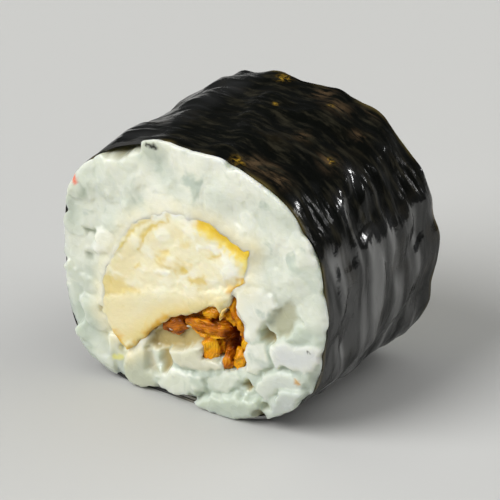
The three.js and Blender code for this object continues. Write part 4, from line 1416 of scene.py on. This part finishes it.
def pressRice(points, grains, side):  # the knife presses the upper grains flat and cuts into the lower ones
    near = shownPoints(points, side)
    flat = points[near][:, [0, 2]]
    depth = points[near, 1] * side
    owner, inside = nearestGrain(flat, grains)
    tilt = ((flat - grains["middle"][owner][:, [0, 2]]) * grains["slope"][owner]).sum(1)
    knife = grains["knife"][owner] + tilt + 0.1 * ripple(flat, 9.0, 50 + side)
    lower = smoothStep(2.0, -4.0, flat[:, 1])
    knife -= 0.3 * lower * (1 - smoothStep(0.1, 1.1, clearance(flat)))
    depth = softLimit(depth, knife, 0.2)
    seam = riceLook["seamDepth"] * seamShare(flat, grains, owner, inside)
    uneven = 0.1 * ripple(flat, 4.0, 62 + side) + 0.03 * ripple(flat, 1.1, 60 + side, 16)
    chips = riceLook["chipStep"] * terraced(ripple(frayed(flat, 1.5, 85, 0.3), 3.4, 87 + side), 1.6)
    pressed = knife - 0.15 - seam + uneven + chips
    flattened = np.maximum(smoothStep(-7.0, 1.0, flat[:, 1]), smoothStep(-6.5, -9.0, flat[:, 0]))
    smear = 0.85 * flattened * atCut(depth)
    depth += smear * (pressed - depth)
    angle = np.arctan2(flat[:, 1], flat[:, 0])
    rim = innerRadius(angle, np.zeros(len(flat))) + 0.3 - np.hypot(flat[:, 0], flat[:, 1])
    depth -= 0.5 * smoothStep(1.5, 0.0, rim) ** 2 * smoothStep(4.0, -6.0, flat[:, 1])
    surface = atCut(depth)
    x, z = flat.T
    joined = np.maximum(smoothStep(-3.0, 0.0, z), smoothStep(-6.0, -8.5, x) * smoothStep(-8.5, -6.5, z))
    flush = surface * joined * smoothStep(1.5, 0.1, -inPolygon(flat, fishLook["outline"]))
    level = fishHalf + fishLook["standOut"] - riceLook["besideFish"] + fishRelief(points[near], side)
    depth += flush * (level - depth)
    if side < 0:
        depth = cutFacets(flat, depth)
    surface = atCut(depth)
    random = np.random.default_rng(riceLook["seeds"][side] + 200)
    crumbs = [(spot, random.uniform(*riceLook["crumbSizes"]))
              for spot in random.uniform(-15, 15, (riceLook["crumbs"], 2))]
    for spot, size in crumbs + [(spot, riceLook["dropSize"]) for spot in riceLook["drops"]]:
        depth += 0.6 * size * surface * np.exp(-((flat - spot) ** 2).sum(1) / size ** 2)
    points[near, 1] = side * depth
    return points


def cutFacets(flat, depth):  # single cut grains with their own faces, and the gaps between them
    bent = grainEdge(flat)
    surface = smoothStep(cutHalf - 3.0, cutHalf - 1.8, depth)
    for corners, height, lean, _, _ in riceLook["facets"]:
        inside = inPolygon(bent, corners)
        leaning = (flat - np.mean(corners, 0)) @ np.array(lean)
        face = cutHalf + height + leaning + 0.02 * ripple(flat, 1.6, 73)
        face -= 0.15 * (1 - smoothStep(0.0, 0.6, inside)) ** 2
        depth = depth + surface * smoothStep(-0.15, 0.22, inside) * (face - depth)
        depth = depth - 0.08 * surface * bell(inside + 0.2, 0.2)
    bent = frayed(flat, 2.6, 75, 0.18)
    for corners, deep, slope, _, _ in riceLook["hollows"]:
        fall = surface * smoothStep(-0.3, slope - 0.3, inPolygon(bent, corners))
        depth = depth + fall * (np.minimum(depth, cutHalf - deep) - depth)
    return depth


def grainEdge(flat):  # shifts the outlines of cut grains to and fro
    return frayed(frayed(flat, 2.6, 75, 0.18), 1.0, 71, 0.1)


def rimSwell(angle, side):  # how far the rice swells out past the nori's edge, from its inside
    if side > 0:
        return -0.2 + 0 * angle
    swell = 0.3 + 0 * angle
    for degrees, spread, height in riceLook["rimWaves"]:
        away = (np.degrees(angle) - degrees + 180) % 360 - 180
        swell = swell + height * bell(away, spread)
    return swell


def fitRice(points, sides):  # the rice keeps within the nori, swells past its edge and lies on the floor
    angle = np.arctan2(points[:, 2], points[:, 0])
    radius = np.hypot(points[:, 0], points[:, 2])
    swell = np.zeros(len(points))
    for side in (-1, 1):
        here = np.flatnonzero(points[:, 1] * side > noriHalf - 0.5)
        inside = nearestGrain(points[here][:, [0, 2]], sides[side])[1]
        notch = 0.12 + 0.25 * smoothStep(4.0, -4.0, points[here, 2])
        swell[here] = rimSwell(angle[here], side) - notch * (1 - inside) ** 2
    past = smoothStep(noriHalf - 0.2, noriHalf + 0.15, np.abs(points[:, 1]))
    limit = innerRadius(angle, points[:, 1]) + 0.01 + past * swell
    fitted = softLimit(radius, limit, 0.2) / radius
    points = points * np.stack([fitted, np.ones(len(points)), fitted], 1)
    points[:, 2] = np.maximum(points[:, 2], 0.02 - rollPlace["axisZ"])
    return points


def makeRice():
    sides = {side: layGrains(side) for side in (-1, 1)}
    middles, turns, sizes = (
        np.concatenate([sides[side][name] for side in (-1, 1)]) for name in ("middle", "turn", "size"))
    piece = newPiece("riceHeap", middles)
    mesh = piece.data
    quaternions = np.array([Matrix(turn.tolist()).to_quaternion() for turn in turns])
    storeValues(mesh, "grainTurn", quaternions, "QUATERNION")
    storeValues(mesh, "grainSize", sizes, "FLOAT_VECTOR")
    grain, core = makeGrainShape(), makeCoreShape()
    material = makeRiceMaterial()
    useTree(piece, makeRiceTree(), {"Grain": grain, "Core": core, "Material": material})
    evened(piece, riceLook["voxel"])
    bpy.data.objects.remove(grain)
    bpy.data.objects.remove(core)
    mesh = softened(piece, 0.5, riceLook["fillet"])
    points = pointsOf(mesh)
    for side in (-1, 1):
        points = pressRice(points, sides[side], side)
    setPoints(mesh, fitRice(points, sides))
    evened(piece, riceLook["fineVoxel"])
    softened(piece, 0.5, 2)
    cutAway(piece, fishRoom, *riceLook["fishRoom"])
    cutAway(piece, onionRoom, *riceLook["onionRoom"])
    markRice(thinned(piece, riceLook["triangles"], material), sides)
    return piece


def markRice(mesh, sides):  # how clear each grain is, seams, stains, gaps and bits that stick on; the gaps and the bottom get painted shade, the rice beside the fish painted light
    points = pointsOf(mesh)
    flat = points[:, [0, 2]]
    front = points[:, 1] < 0
    # clearer, and so darker, towards the bottom, which is painted shade; also clearer at the right, at the
    # upper left and from grain to grain
    low = smoothStep(5.0, -13.0, flat[:, 1])
    right = smoothStep(5.0, 13.0, flat[:, 0]) * (0.6 + 0.4 * smoothStep(3.0, -6.0, flat[:, 1]))
    left = smoothStep(-4.0, -12.0, flat[:, 0]) * smoothStep(-2.0, 4.0, flat[:, 1])
    varied = 0.45 + 0.55 * low
    clear = 0.3 + 0.8 * low + 0.3 * right + 0.25 * left + 0.35 * varied * ripple(flat, 5.0, 91)
    seam = np.zeros(len(points))
    for side in (-1, 1):
        near = shownPoints(points, side)
        owner, inside = nearestGrain(flat[near], sides[side])
        clear[near] += 0.5 * varied[near] * (sides[side]["tone"][owner] - 0.4)
        seam[near] = 0.5 * seamShare(flat[near], sides[side], owner, inside)
    marks = {mark: np.zeros(len(points)) for mark in riceLook["marks"]}
    bent = grainEdge(flat)
    for corners, _, _, facetClear, cool in riceLook["facets"]:
        mask = front * smoothStep(-0.1, 0.3, inPolygon(bent, corners))
        clear += mask * (facetClear - clear)
        middle = front * smoothStep(-0.3, 1.0, inPolygon(bent, corners))
        marks["cool"] = np.maximum(marks["cool"], cool * middle)
    # in the gaps the stain and the grey are painted shade
    for corners, _, slope, stainAndShade, greyAndShade in riceLook["hollows"]:
        mask = front * smoothStep(-0.43 * slope, 0.57 * slope, inPolygon(bent, corners))
        marks["stainAndShade"] = np.maximum(marks["stainAndShade"], stainAndShade * mask)
        marks["greyAndShade"] = np.maximum(marks["greyAndShade"], greyAndShade * mask)
    # cream beside the fish, lightened as painted light over the dark line at the joint
    beside = smoothStep(2.6, 0.1, -inPolygon(flat, fishLook["outline"]))
    marks["fishStainAndLight"] = beside * (0.65 + 0.3 * smoothStep(-1.0, 0.6, ripple(flat, 1.8, 93)))
    marks["stainAndShade"] = np.maximum(marks["stainAndShade"], 0.3 * nearPath(flat, fishLook["crustLine"], 1.2))
    for start, end, size, kind in riceLook["flecks"]:
        far = polylineDistance(frayed(flat, 0.5, 95, 0.05), [start, end])[0]
        marks[kind] = np.maximum(marks[kind], front * smoothStep(1.2 * size, 0.6 * size, far))
    storeValues(mesh, "grainClearAndShade", np.clip(clear, 0, 1.4))
    storeValues(mesh, "grainSeam", seam)
    for mark, values in marks.items():
        storeValues(mesh, mark, values)


ricePiece = makeRice()
print("rice ready")

finishPiece(fishPiece, "mackerel")
finishPiece(onionPiece, "fried_onion")
finishPiece(ricePiece, "rice", sharpAngle=50)
